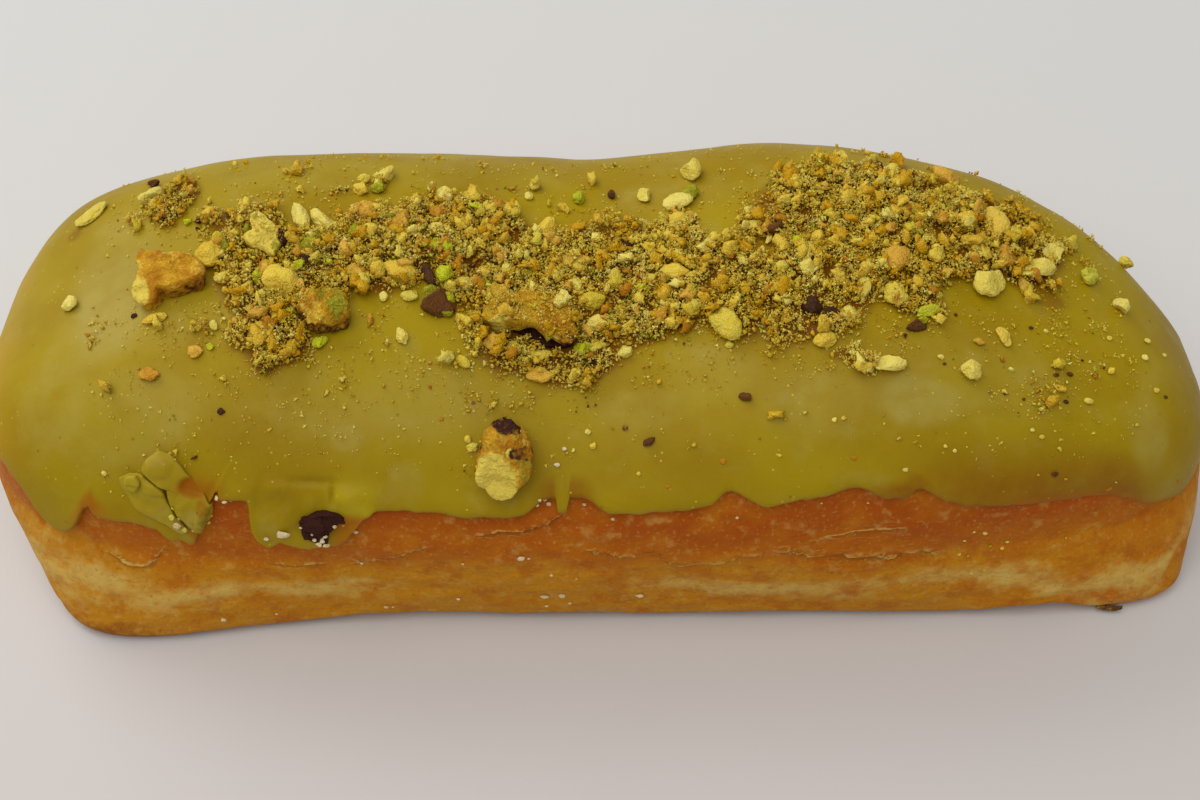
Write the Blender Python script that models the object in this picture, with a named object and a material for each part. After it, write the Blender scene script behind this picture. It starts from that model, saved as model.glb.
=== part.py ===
"""Long john doughnut: a fried dough bar under green icing, with crushed pistachio stuck on top.

Sizes are in millimetres and become metres as each mesh is made. +X runs along the bar, -Y is its
front and +Z is up. The bar is drawn about its own middle, and the last step moves the finished
pieces so that the origin is under the middle of the whole, on the surface that the bar lies on.
"""

import math
from dataclasses import dataclass

import bmesh
import bpy
import numpy as np
from mathutils import Matrix, Vector
from mathutils.bvhtree import BVHTree

MM = 0.001
GAP = 0.4

# The dough bar: a rounded box that is widest a third of the way up.
HALF_LENGTH = 82.0
HALF_WIDTH = 32.2
DOUGH_HEIGHT = 39.2
WIDEST_HEIGHT = 14.8
DOME_POWER = 2.4
LENGTH_POWER = 0.62
BASE_LEFT, BASE_RIGHT = 70.0, 76.0
BASE_FRONT, BASE_BACK = 31.4, 30.0
BASE_EDGE_RADIUS = 2.5
UNDERCUT_POWER = 1.2
SQUARING_POWER = 0.84

# How square each corner is in plan: 2 is an ellipse, and more is squarer.
TOP_SQUARENESS = 5.4
WIDEST_SQUARENESS = {"front_left": 3.1, "front_right": 3.1, "back_left": 4.1, "back_right": 2.1}
BASE_SQUARENESS = {"front_left": 12.0, "front_right": 12.0, "back_left": 5.0, "back_right": 5.0}

# Uneven rising: a swelling, a sag and a slope along the top, a foot at one corner, slanted ends.
SWELL_X, SWELL_WIDTH, SWELL = 33.0, 22.0, 3.5
SAG_X, SAG_WIDTH, SAG = -2.0, 16.0, 2.2
FOOT_X, FOOT_WIDTH, FOOT = -66.0, 22.0, 4.5
SLOPE = 1.15
RIGHT_SLANT, LEFT_SLANT = 10.0, 3.7
LUMP_DEPTH = 0.25

# The icing: a shell over the top half, with a rounded bead along its lower edge.
ICING_THICKNESS = 1.1
BEAD_EXTRA = 0.35
BEAD_WIDTH = 3.5
EDGE_LEVEL = 0.775
END_DROP = 0.08
END_DROP_X = 72.0

# The waves of its edge round the back, and the turns where the front edge needs closer columns.
BACK_WAVES = ((1.3, 6.1, 0.0, 0.8), (0.9, 2.9, 0.2, 0.0))
BROKEN_TURN, FINGER_TURN = math.radians(-131), math.radians(-95)

# The dough and the inside of the icing share their columns and upper levels, so their gap is even.
COLUMNS = 100
UPPER_LEVELS = (0.6, 0.5, 0.4, 0.3, 0.2, 0.1)
LOWER_LEVELS = (2.0, 1.86, 1.7, 1.5, 1.3, 1.13, 1.05, 0.99, 0.93, 0.86, 0.78, 0.7)
OUTER_SHARES = (0.88, 0.78, 0.68, 0.56, 0.44, 0.32, 0.2, 0.1)
LIP_DISTANCES = (0.0, 0.25, 1.0, 2.6)

# Crumbs: radii, how deep they sink in, how far apart they stay, and the box they are drawn from.
SEED = 7
CRUMB_COUNT = 120
CRUMB_LARGEST, CRUMB_SMALLEST = 2.1, 0.95
CRUMB_HEIGHT = 1.7
CRUMB_SINK = 0.5
CRUMB_SPACING = 1.25
CRUMB_TRIES = 400
CRUMB_AREA_X = (-62.0, 68.0)
CRUMB_AREA_Y = (-22.0, 19.0)
CLEAR_OF_PIECES = 1.2

# The half kernel in the middle arches up off the icing along its front.
ARCH_LIFT = 1.6
ARCH_THINNING = 0.62


@dataclass(frozen=True)
class Drip:
    """A stretch of the icing's front edge: where it is along X, how wide, and how far it hangs down."""

    x: float
    half_width: float
    drop: float
    flatness: int = 2


@dataclass(frozen=True)
class Crease:
    """A shallow fold along the front of the dough: where it is along X and how far down, as a level."""

    x: float
    half_length: float
    level: float
    depth: float


@dataclass(frozen=True)
class Patch:
    """An ellipse of the top, in plan, that crumbs cover."""

    x: float
    y: float
    half_length: float
    half_width: float


@dataclass(frozen=True)
class Piece:
    """One piece of pistachio, lying on the icing at (x, y) in plan."""

    x: float
    y: float
    length: float
    width: float
    height: float
    turn: float


DRIPS = (
    Drip(-71.0, 2.8, 5.4),
    Drip(-59.0, 9.5, 2.9, 4),
    Drip(-65.5, 1.2, -1.2),
    Drip(-54.6, 2.6, 1.8),
    Drip(-46.4, 3.0, -2.2, 8),
    Drip(-37.6, 5.9, 5.5, 8),
    Drip(-14.5, 6.0, 0.8),
    Drip(-3.3, 3.6, -2.5, 4),
    Drip(-3.9, 0.7, 1.5),
    Drip(18.3, 2.2, -1.9),
    Drip(23.0, 2.5, 0.7),
    Drip(34.5, 3.5, -1.4),
    Drip(42.8, 1.5, -1.7),
    Drip(48.0, 3.0, 0.8),
    Drip(75.0, 10.0, 4.2),
)

CREASES = (
    Crease(-61.0, 6.0, 1.02, 0.5),
    Crease(-11.0, 7.0, 0.88, 0.4),
    Crease(5.0, 7.0, 0.98, 0.6),
    Crease(18.0, 6.0, 1.0, 0.5),
    Crease(36.0, 12.0, 0.95, 0.5),
)
CREASE_HEIGHT = 0.05

PATCHES = (
    Patch(-56.2, 11.7, 4.0, 4.5),
    Patch(-43.0, 1.0, 11.0, 8.0),
    Patch(-41.2, -13.0, 7.5, 6.0),
    Patch(-21.0, 2.0, 13.0, 10.5),
    Patch(3.0, -1.5, 14.0, 10.0),
    Patch(-6.0, -14.5, 11.0, 6.0),
    Patch(17.5, -4.0, 9.0, 10.0),
    Patch(37.0, 3.5, 17.0, 15.5),
    Patch(57.0, 3.5, 10.0, 8.0),
    Patch(28.5, -12.5, 8.0, 5.0),
)

NUTS = {
    "nut_chunk_left": Piece(-56.0, -1.2, 10.0, 7.6, 4.6, 12.0),
    "nut_half_middle": Piece(-8.0, -7.5, 13.0, 9.0, 5.0, -8.0),
    "nut_front": Piece(-11.2, -26.4, 8.0, 12.0, 4.6, 8.0),
    "nut_chunk_round": Piece(-35.1, -7.0, 7.2, 6.6, 4.6, 20.0),
    "nut_chunk_pale": Piece(-43.1, 4.6, 5.4, 5.2, 3.6, -35.0),
}

# Smaller pieces that stand out from the crumbs round them, fused to the icing.
FUSED_PIECES = (
    Piece(17.7, -12.0, 5.2, 4.0, 2.6, -20.0),
    Piece(51.8, -4.9, 4.4, 3.4, 2.4, 10.0),
    Piece(58.4, -1.2, 5.2, 3.2, 2.2, 12.0),
    Piece(38.1, -18.2, 4.4, 2.6, 2.2, 0.0),
    Piece(48.6, -18.4, 3.0, 2.7, 2.0, 30.0),
    Piece(14.1, 16.2, 3.4, 4.0, 2.4, 0.0),
    Piece(12.0, 9.6, 4.2, 2.6, 2.0, 20.0),
    Piece(-70.0, -3.3, 2.4, 2.2, 1.6, 0.0),
    Piece(-19.9, -7.4, 5.2, 3.8, 2.4, 0.0),
    Piece(-40.8, -5.4, 4.2, 4.6, 2.6, 30.0),
    Piece(-50.3, 0.6, 2.4, 3.0, 2.2, -30.0),
    Piece(39.7, -2.8, 4.2, 3.6, 2.4, 40.0),
    Piece(42.4, -12.3, 4.8, 2.8, 2.0, 15.0),
    Piece(-35.0, -31.2, 4.8, 3.8, 1.6, 15.0),
    Piece(71.1, -2.9, 2.2, 2.0, 1.6, 0.0),
)

# Curled slabs of cracked icing at the front, near the left end.
SHARDS = (
    Piece(-55.4, -26.6, 4.8, 5.4, 1.5, 0.0),
    Piece(-51.9, -28.9, 5.0, 9.0, 1.6, 22.0),
    Piece(-57.0, -29.0, 10.5, 4.8, 1.4, -28.0),
)


def clear_scene():
    for obj in list(bpy.data.objects):
        bpy.data.objects.remove(obj, do_unlink=True)


def bump(x, centre, width, flatness=2):
    """A smooth rise to 1 at centre; a higher flatness gives it a flat top and steep sides."""
    return np.exp(-(np.abs((x - centre) / width) ** flatness))


def by_corner(values, side_x, side_y):
    """The value of the corner that each point lies in."""
    front = np.where(side_x < 0, values["front_left"], values["front_right"])
    back = np.where(side_x < 0, values["back_left"], values["back_right"])
    return np.where(side_y < 0, front, back)


def bar_point(turn, level):
    """Points of the bar's surface: level runs from 0 in the middle of the top, through 1 on the
    widest line, to 2 on the base's rim, and turn is the angle round the plan."""
    turn, level = np.broadcast_arrays(np.asarray(turn, float), np.asarray(level, float))
    side_x = np.cos(turn) / math.sqrt(HALF_LENGTH)
    side_y = np.sin(turn) / math.sqrt(HALF_WIDTH)
    spread = np.sin(np.clip(level, 0, 1) * math.pi / 2)
    under = np.clip(level - 1, 0, 1)
    above = level <= 1
    dome = np.maximum(1 - spread**DOME_POWER, 0) ** (1 / DOME_POWER)
    z_above = WIDEST_HEIGHT + (DOUGH_HEIGHT - WIDEST_HEIGHT) * dome
    z = np.where(above, z_above, WIDEST_HEIGHT * (1 - under))
    half_x, half_y = half_sizes(side_x, side_y, spread, under, z, above)
    squareness = plan_squareness(side_x, side_y, spread, under, above)
    reach = (np.abs(side_x) ** squareness + np.abs(side_y) ** squareness) ** (-1 / squareness)
    return uneven(half_x * side_x * reach, half_y * side_y * reach, z, side_y * reach)


def half_sizes(side_x, side_y, spread, under, z, above):
    """Half of the plan's length and width at each level, with the base's edge rounded."""
    tuck = under**UNDERCUT_POWER
    drop = np.clip(BASE_EDGE_RADIUS - z, 0, BASE_EDGE_RADIUS)
    rounding = BASE_EDGE_RADIUS - np.sqrt(BASE_EDGE_RADIUS**2 - drop**2)
    base_x = np.where(side_x < 0, BASE_LEFT, BASE_RIGHT)
    base_y = np.where(side_y < 0, BASE_FRONT, BASE_BACK)
    below_x = HALF_LENGTH + (base_x - HALF_LENGTH) * tuck - rounding
    below_y = HALF_WIDTH + (base_y - HALF_WIDTH) * tuck - rounding
    half_x = np.where(above, HALF_LENGTH * spread**LENGTH_POWER, below_x)
    half_y = np.where(above, HALF_WIDTH * spread, below_y)
    return half_x, half_y


def plan_squareness(side_x, side_y, spread, under, above):
    """The plan's exponent, from the top's through the widest line's to the base's."""
    widest = by_corner(WIDEST_SQUARENESS, side_x, side_y)
    base = by_corner(BASE_SQUARENESS, side_x, side_y)
    over = TOP_SQUARENESS + (widest - TOP_SQUARENESS) * spread**2
    below = 1 / (1 / widest + (1 / base - 1 / widest) * under**SQUARING_POWER)
    return np.where(above, over, below)


def uneven(x, y, z, forward):
    """The swelling, sag, foot and slanted ends, which all fade out towards the floor or the top."""
    rise = z / (DOUGH_HEIGHT + 1)
    y = y - np.clip(-2 * forward, 0, 1) * (1 - rise) ** 2 * FOOT * bump(x, FOOT_X, FOOT_WIDTH)
    slope = SLOPE * x / HALF_LENGTH
    z = z + rise * (SWELL * bump(x, SWELL_X, SWELL_WIDTH) - SAG * bump(x, SAG_X, SAG_WIDTH) - slope)
    right = np.maximum(x / HALF_LENGTH, 0) ** 2
    left = np.minimum(x / HALF_LENGTH, 0) ** 2
    x = x + (LEFT_SLANT * left - RIGHT_SLANT * right) * y / HALF_WIDTH
    return np.stack([x, y, z], axis=-1)


def bar_normal(turn, level):
    step = 0.001
    level = np.clip(level, 2 * step, 2 - step)
    round_plan = bar_point(turn + step, level) - bar_point(turn - step, level)
    upwards = bar_point(turn, level - step) - bar_point(turn, level + step)
    normal = np.cross(round_plan, upwards)
    return normal / np.linalg.norm(normal, axis=-1, keepdims=True)


def lumps(point):
    """Low swellings all over the bar, fading out at the flat base."""
    x, y, z = point[..., 0], point[..., 1], point[..., 2]
    wave = np.sin(x / 7.3 + y / 9.0 + 0.6) * np.sin(z / 5.1 - y / 6.7 + 1.1)
    fine = 0.5 * np.sin(x / 3.9 + z / 4.3) * np.sin(x / 10.7 - y / 4.1)
    return LUMP_DEPTH * (wave + fine) * np.clip(z / 4, 0, 1)


def skin(turn, level, offset):
    """The lumpy surface, moved out along its normal by offset."""
    point = bar_point(turn, level)
    return point + bar_normal(turn, level) * (lumps(point) + offset)[..., None]


def crease_depth(turn, level):
    """How far the folds along the front draw the dough in."""
    point = bar_point(turn, level)
    front = np.clip(-point[..., 1] / 6, 0, 1)
    depth = np.zeros_like(point[..., 0])
    for crease in CREASES:
        along = bump(point[..., 0], crease.x, crease.half_length, 4)
        depth += crease.depth * along * bump(level, crease.level, CREASE_HEIGHT)
    return depth * front


def lofted_mesh(name, rings, first, last):
    """A closed mesh through rings of as many points each, with a point at either end."""
    count = len(rings[0])
    points = np.concatenate([[first], *rings, [last]]) * MM
    mesh = bpy.data.meshes.new(name)
    faces = []
    for i in range(count):
        j = (i + 1) % count
        faces.append((0, 1 + j, 1 + i))
        for row in range(len(rings) - 1):
            low, high = 1 + row * count, 1 + (row + 1) * count
            faces.append((low + i, low + j, high + j, high + i))
        top = 1 + (len(rings) - 1) * count
        faces.append((top + i, top + j, len(points) - 1))
    mesh.from_pydata(points.tolist(), [], faces)
    return mesh


def add_object(name, mesh, material):
    """An object in the scene with its faces turned outwards and shaded smooth."""
    work = bmesh.new()
    work.from_mesh(mesh)
    bmesh.ops.recalc_face_normals(work, faces=work.faces)
    work.to_mesh(mesh)
    work.free()
    mesh.shade_smooth()
    mesh.materials.append(material)
    obj = bpy.data.objects.new(name, mesh)
    bpy.context.scene.collection.objects.link(obj)
    return obj


def plain_material(name, colour, roughness):
    material = bpy.data.materials.new(name)
    material.use_nodes = True
    shader = material.node_tree.nodes["Principled BSDF"]
    shader.inputs["Base Color"].default_value = (*colour, 1.0)
    shader.inputs["Roughness"].default_value = roughness
    shader.inputs["Metallic"].default_value = 0.0
    return material


def column_turns():
    """Angles round the plan, closer together along the broken edge at the front left."""
    fine = np.linspace(-math.pi, math.pi, 2000)
    density = 1 + 1.6 * bump(fine, BROKEN_TURN, 0.2, 4) + 1.2 * bump(fine, FINGER_TURN, 0.12)
    share = np.concatenate([[0], np.cumsum((density[1:] + density[:-1]) / 2)])
    return np.interp(np.arange(COLUMNS) / COLUMNS * share[-1], share, fine)


def length_per_level(turn, level):
    """How far down the bar's side one whole level goes, near a level."""
    step = 0.05
    stretch = bar_point(turn, level + step) - bar_point(turn, level - step)
    return np.linalg.norm(stretch, axis=-1) / (2 * step)


def edge_levels(turn):
    """The level of the icing's lower edge: even, lower at the ends, with drips and gaps at the
    front and small waves round the back."""
    middle = bar_point(turn, EDGE_LEVEL)
    x, y = middle[:, 0], middle[:, 1]
    per_level = length_per_level(turn, EDGE_LEVEL)
    level = EDGE_LEVEL + END_DROP * np.clip(np.abs(x) / END_DROP_X, 0, 1) ** 4
    front = np.clip(-y / 6, 0, 1)
    for drip in DRIPS:
        level += front * drip.drop / per_level * bump(x, drip.x, drip.half_width, drip.flatness)
    for drop, length, slant, start in BACK_WAVES:
        level += (1 - front) * drop / per_level * np.sin(x / length + y * slant + start)
    return level


def icing_rings(turn):
    """Rings of the shell, down its inside from the top, round the lip and up its outside."""
    edge = edge_levels(turn)
    per_level = length_per_level(turn, edge)
    still = np.zeros_like(edge)
    inner = [skin(turn, level, still + GAP) for level in reversed(UPPER_LEVELS)]
    for share in (1 / 3, 2 / 3, 1):
        inner.append(skin(turn, UPPER_LEVELS[0] + (edge - UPPER_LEVELS[0]) * share, still + GAP))
    outer = []
    for distance in LIP_DISTANCES:
        outer.append(skin(turn, edge - distance / per_level, still + outer_offset(distance)))
    edge_outside = edge - LIP_DISTANCES[-1] / per_level
    for share in OUTER_SHARES:
        distance = (edge - edge_outside * share) * per_level
        outer.append(skin(turn, edge_outside * share, outer_offset(distance)))
    return inner + outer


def outer_offset(distance):
    """How far the icing's outside stands off the dough, at a distance above its lower edge."""
    lip = np.clip(distance / ICING_THICKNESS, 0, 1)
    rounded = 0.35 + 0.65 * np.sqrt(1 - (1 - lip) ** 2)
    bead = BEAD_EXTRA * np.exp(-((distance / BEAD_WIDTH) ** 2))
    return GAP + (ICING_THICKNESS + bead) * rounded


def top_point(offset):
    """The middle of the top, moved up by offset."""
    point = bar_point(0.0, 0.0)
    return point + np.array([0, 0, offset + float(lumps(point))])


def build_dough():
    turns = column_turns()
    levels = LOWER_LEVELS + UPPER_LEVELS
    rings = [skin(turns, level, -crease_depth(turns, level)) for level in levels]
    rings[0][:, 2] = 0.0
    mesh = lofted_mesh("dough", rings, np.zeros(3), top_point(0.0))
    return add_object("dough", mesh, plain_material("fried dough", (0.40, 0.17, 0.035), 0.55))


def build_icing():
    rings = icing_rings(column_turns())
    mesh = lofted_mesh("icing", rings, top_point(GAP), top_point(GAP + ICING_THICKNESS))
    return add_object("icing", mesh, plain_material("green icing", (0.30, 0.26, 0.035), 0.35))


class Surface:
    """The icing's outside, for finding where a piece dropped at (x, y) comes to lie."""

    def __init__(self, obj):
        mesh = obj.data
        points = [vertex.co / MM for vertex in mesh.vertices]
        self.tree = BVHTree.FromPolygons(points, [tuple(face.vertices) for face in mesh.polygons])

    def land(self, x, y):
        """The point under (x, y) and the surface's normal there."""
        point, normal, _, _ = self.tree.ray_cast(Vector((x, y, 100)), Vector((0, 0, -1)))
        return point, normal

    def keep_clear(self, point):
        """The point itself, or the nearest one that is the gap's width outside the icing."""
        nearest, normal, _, _ = self.tree.find_nearest(point)
        height = (point - nearest).dot(normal)
        return nearest + normal * GAP if height < GAP else point

    def stand(self, x, y, turn):
        """A matrix that stands a piece on the surface at (x, y), turned about its normal."""
        point, normal = self.land(x, y)
        along = (Vector((1, 0, 0)) - normal * normal.x).normalized()
        across = normal.cross(along)
        frame = Matrix((along, across, normal)).transposed().to_4x4()
        return Matrix.Translation(point) @ frame @ Matrix.Rotation(math.radians(turn), 4, "Z")


def rough_ball(rng, subdivisions, jitter):
    """The corners and faces of a ball with its corners moved in and out."""
    work = bmesh.new()
    bmesh.ops.create_icosphere(work, subdivisions=subdivisions, radius=1)
    corners = [vertex.co * (1 + rng.uniform(-jitter, jitter)) for vertex in work.verts]
    faces = [tuple(vertex.index for vertex in face.verts) for face in work.faces]
    work.free()
    return corners, faces


def mesh_of(name, corners, faces):
    mesh = bpy.data.meshes.new(name)
    mesh.from_pydata([corner * MM for corner in corners], [], faces)
    return mesh


def chunk_shape(corner, piece):
    """A ball's corner as part of a broken nut: a flat underside, straight sides and a low top."""
    box = Vector(math.copysign(abs(value) ** 0.7, value) for value in corner)
    height = piece.height * (0.5 + 0.5 * box.z)
    return Vector((box.x * piece.length / 2, box.y * piece.width / 2, height))


def half_nut_shape(corner, piece):
    """A ball's corner as part of a half kernel that arches up off the icing along its front."""
    flat = chunk_shape(corner, piece)
    lift = ARCH_LIFT * (0.5 - flat.y / piece.width) * (1 - (2 * flat.x / piece.length) ** 2)
    return Vector((flat.x, flat.y, ARCH_THINNING * flat.z + max(lift, 0)))


def build_nuts(surface, rng):
    """The pieces of nut that are as large as berries, each lying just clear of the icing."""
    brown = plain_material("toasted nut", (0.42, 0.22, 0.05), 0.7)
    pale = plain_material("pale nut", (0.55, 0.50, 0.16), 0.7)
    for name, piece in NUTS.items():
        shape = half_nut_shape if name == "nut_half_middle" else chunk_shape
        stand = surface.stand(piece.x, piece.y, piece.turn)
        corners, faces = rough_ball(rng, 2, 0.1)
        placed = [surface.keep_clear(stand @ shape(corner, piece)) for corner in corners]
        add_object(name, mesh_of(name, placed, faces), pale if name == "nut_chunk_pale" else brown)


def in_patch(x, y):
    return any(math.hypot((x - p.x) / p.half_length, (y - p.y) / p.half_width) < 1 for p in PATCHES)


def crumb_pieces(rng):
    """Crumbs over the patches, the largest first, each clear of the pieces already there."""
    whole = (*NUTS.values(), *FUSED_PIECES)
    taken = [(p.x, p.y, max(p.length, p.width) / 2 + CLEAR_OF_PIECES) for p in whole]
    sizes = np.linspace(CRUMB_LARGEST, CRUMB_SMALLEST, CRUMB_COUNT)
    pieces = []
    for radius in sizes:
        for _ in range(CRUMB_TRIES):
            x, y = rng.uniform(*CRUMB_AREA_X), rng.uniform(*CRUMB_AREA_Y)
            if in_patch(x, y) and clear_of(taken, x, y, radius):
                taken.append((x, y, radius * CRUMB_SPACING))
                pieces.append(crumb_piece(rng, x, y, radius))
                break
    return pieces


def clear_of(taken, x, y, radius):
    return all(math.hypot(x - tx, y - ty) > radius + reach for tx, ty, reach in taken)


def crumb_piece(rng, x, y, radius):
    longer = rng.uniform(1.0, 1.3)
    turn = rng.uniform(0, 180)
    return Piece(x, y, 2 * radius * longer, 2 * radius / longer, CRUMB_HEIGHT * radius, turn)


def sunk_lump(surface, piece, rng, jitter):
    """A many-sided lump that stands on the icing with its underside sunk into it."""
    stand = surface.stand(piece.x, piece.y, piece.turn)
    corners, faces = rough_ball(rng, 1, jitter)
    half_height = (piece.height + CRUMB_SINK) / 2
    size = Matrix.Diagonal((piece.length / 2, piece.width / 2, half_height, 1))
    rise = Matrix.Translation((0, 0, half_height - CRUMB_SINK))
    return [stand @ rise @ size @ corner for corner in corners], faces


def fuse_toppings(icing, surface, rng):
    """One union joins the crumbs, the smaller pieces and the cracked slabs to the icing."""
    toppings = bpy.data.collections.new("toppings")
    bpy.context.scene.collection.children.link(toppings)
    shards = [sunk_lump(surface, piece, rng, 0.05) for piece in SHARDS]
    pieces = [sunk_lump(surface, piece, rng, 0.1) for piece in FUSED_PIECES]
    crumbs = [sunk_lump(surface, piece, rng, 0.16) for piece in crumb_pieces(rng)]
    for number, (corners, faces) in enumerate(shards + pieces + crumbs):
        lump = bpy.data.objects.new(f"topping_{number}", mesh_of("topping", corners, faces))
        toppings.objects.link(lump)
    union = icing.modifiers.new("Fuse toppings", "BOOLEAN")
    union.operation = "UNION"
    union.operand_type = "COLLECTION"
    union.collection = toppings
    union.solver = "EXACT"
    apply_modifiers(icing)
    for lump in list(toppings.objects):
        bpy.data.objects.remove(lump, do_unlink=True)
    bpy.data.collections.remove(toppings)


def apply_modifiers(obj):
    graph = bpy.context.evaluated_depsgraph_get()
    mesh = bpy.data.meshes.new_from_object(obj.evaluated_get(graph))
    obj.modifiers.clear()
    obj.data = mesh


def stand_on_origin():
    """Moves the pieces together, so that the origin is under the middle of their box."""
    boxes = [[obj.matrix_world @ vertex.co for vertex in obj.data.vertices] for obj in bpy.data.objects]
    points = np.array([point for box in boxes for point in box])
    low, high = points.min(axis=0), points.max(axis=0)
    middle = Vector(((low[0] + high[0]) / 2, (low[1] + high[1]) / 2, low[2]))
    for obj in bpy.data.objects:
        obj.location -= middle


def main():
    clear_scene()
    rng = np.random.default_rng(SEED)
    build_dough()
    icing = build_icing()
    surface = Surface(icing)
    build_nuts(surface, rng)
    fuse_toppings(icing, surface, rng)
    stand_on_origin()


main()
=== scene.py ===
"""Looks of the iced long john doughnut: fried dough, green icing, broken pistachio and its crumbs.

Lengths are in millimetres, in the bar's own coordinates: +X runs along the bar, -Y is its front and
+Z is up. place() turns them into metres of the shared frame, whose origin is under the middle of
the whole part. Every surface is a function of two parameters, worked out as whole arrays.
"""

import logging
import math
import sys
from dataclasses import dataclass
from enum import Enum
from itertools import starmap

import bmesh
import bpy
import numpy as np
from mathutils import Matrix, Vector
from mathutils.bvhtree import BVHTree


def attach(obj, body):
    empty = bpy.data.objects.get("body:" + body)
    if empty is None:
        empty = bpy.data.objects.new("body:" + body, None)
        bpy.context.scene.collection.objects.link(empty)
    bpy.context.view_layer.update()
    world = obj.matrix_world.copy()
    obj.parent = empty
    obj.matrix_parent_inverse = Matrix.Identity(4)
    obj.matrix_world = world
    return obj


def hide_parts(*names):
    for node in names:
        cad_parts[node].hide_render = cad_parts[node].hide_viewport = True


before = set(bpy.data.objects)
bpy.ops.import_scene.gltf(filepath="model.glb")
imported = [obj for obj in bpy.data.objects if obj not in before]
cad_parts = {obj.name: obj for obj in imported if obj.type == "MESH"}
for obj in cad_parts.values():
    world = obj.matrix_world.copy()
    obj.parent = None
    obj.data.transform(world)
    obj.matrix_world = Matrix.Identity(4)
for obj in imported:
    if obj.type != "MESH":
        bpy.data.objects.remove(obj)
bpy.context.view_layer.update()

Array = np.ndarray
Colour = tuple[float, float, float]
Input = "Value | bpy.types.NodeSocket | float | Colour"
log = logging.getLogger("long_john")

MM = 0.001
BODY = "root"
# Where the middle of the whole part lies in the bar's own coordinates, in plan.
BAR_MIDDLE = (1.299, -1.028)
# How far in front of the bar's middle line its front side starts in full, in millimetres.
FRONT_FROM = 6.0


# ---------------------------------------------------------------- numbers over space


def smooth(value: Array, low: float, high: float) -> Array:
    """A smooth step: with t from 0 at low to 1 at high, t * t * (3 - 2 t).

    Args:
        value: Any numbers.
        low: Where the step starts; it may be above high, and the step then goes down.
        high: Where the step ends.

    Returns:
        Numbers from 0 to 1, shaped like value.
    """
    t = np.clip((value - low) / (high - low), 0, 1)
    return t * t * (3 - 2 * t)


def bump(x: Array, centre: float, width: float, flatness: int = 2) -> Array:
    """A bell, e to the power of -(distance / width) ** flatness; more flatness steepens its sides.

    Args:
        x: Places along one axis.
        centre: Where the bell is highest.
        width: Its half width.
        flatness: The exponent, 2 for a plain bell.

    Returns:
        Numbers from 0 to 1, shaped like x.
    """
    return np.exp(-(np.abs((x - centre) / width) ** flatness))


def frontness(y: Array) -> Array:
    """How much places along Y belong to the front side, from 0 behind the middle line to 1."""
    return np.clip(-y / FRONT_FROM, 0, 1)


class Grain:
    """Smooth random values over space, for unevenness that isn't a regular wave."""

    # How many values there are (a power of two), and the primes that spread places over them.
    values = 8192
    primes = (73856093, 19349663, 83492791)

    def __init__(self, seed: int) -> None:
        """Draws the table of corner values, the same each run.

        Args:
            seed: Seed of the draw.
        """
        self.table = np.random.default_rng(seed).uniform(-1, 1, self.values)

    def corner(self, cell: Array) -> Array:
        """The random value at whole-numbered places, through a hash of their three coordinates."""
        mixed = np.bitwise_xor.reduce(cell * np.array(self.primes), axis=-1)
        return self.table[mixed & (self.values - 1)]

    def __call__(self, point: Array, size: float | tuple[float, float, float], octaves: int = 1) -> Array:
        """Blends the eight corner values round each point, and adds finer layers at half weight.

        Args:
            point: Points, with their coordinates last.
            size: How far apart the coarsest corners are, alike or along each axis.
            octaves: How many layers, each twice as fine as the one before.

        Returns:
            Numbers of about -1 to 1, one for each point.
        """
        total = np.zeros(point.shape[:-1])
        for octave in range(octaves):
            scaled = point / np.asarray(size) * 2**octave + 17.3 * octave
            low = np.floor(scaled).astype(np.int64)
            part = scaled - low
            part = part * part * (3 - 2 * part)
            for corner in np.ndindex(2, 2, 2):
                share = np.where(corner, part, 1 - part).prod(axis=-1)
                total += share * self.corner(low + np.array(corner)) / 2**octave
        return total


# ---------------------------------------------------------------- meshes from arrays


def place(point: Array) -> Array:
    """Metres in the shared frame, of points in millimetres in the bar's own coordinates."""
    return (point - np.array([*BAR_MIDDLE, 0.0])) * MM


def outward(point: Array, faces: list[Array]) -> list[Array]:
    """Turns a closed mesh's faces outwards, by the sign of its volume.

    Args:
        point: The corners, one row each.
        faces: Arrays of faces, each with as many corners a face as its row is long.

    Returns:
        The same faces, with their order of corners reversed if the volume came out negative.
    """
    volume = 0.0
    for group in faces:
        for i in range(1, group.shape[1] - 1):
            a, b, c = point[group[:, 0]], point[group[:, i]], point[group[:, i + 1]]
            volume += float(np.einsum("ij,ij->", a, np.cross(b, c)))
    return [group[:, ::-1] for group in faces] if volume < 0 else faces


def put_mesh(name: str, point: Array, faces: list[Array], values: dict[str, Array]) -> bpy.types.Object:
    """Makes an object of whole arrays of points and faces, shaded smooth.

    Args:
        name: The object's name.
        point: Corners in the bar's own coordinates.
        faces: Arrays of faces, as outward() takes them.
        values: Numbers for each corner that the finish reads, by name.

    Returns:
        The object, at the origin of the shared frame.
    """
    faces = outward(point, faces)
    starts = np.concatenate([np.full(len(group), group.shape[1]) for group in faces])
    corners = np.concatenate([group.ravel() for group in faces])
    mesh = bpy.data.meshes.new(name)
    mesh.vertices.add(len(point))
    mesh.vertices.foreach_set("co", place(point).astype(np.float32).ravel())
    mesh.loops.add(len(corners))
    mesh.loops.foreach_set("vertex_index", corners.astype(np.int32))
    mesh.polygons.add(len(starts))
    mesh.polygons.foreach_set("loop_start", (np.cumsum(starts) - starts).astype(np.int32))
    mesh.update(calc_edges=True)
    mesh.shade_smooth()
    for key, value in values.items():
        layer = mesh.attributes.new(key, "FLOAT", "POINT")
        layer.data.foreach_set("value", np.asarray(value, np.float32).ravel())
    obj = bpy.data.objects.new(name, mesh)
    bpy.context.scene.collection.objects.link(obj)
    return obj


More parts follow.
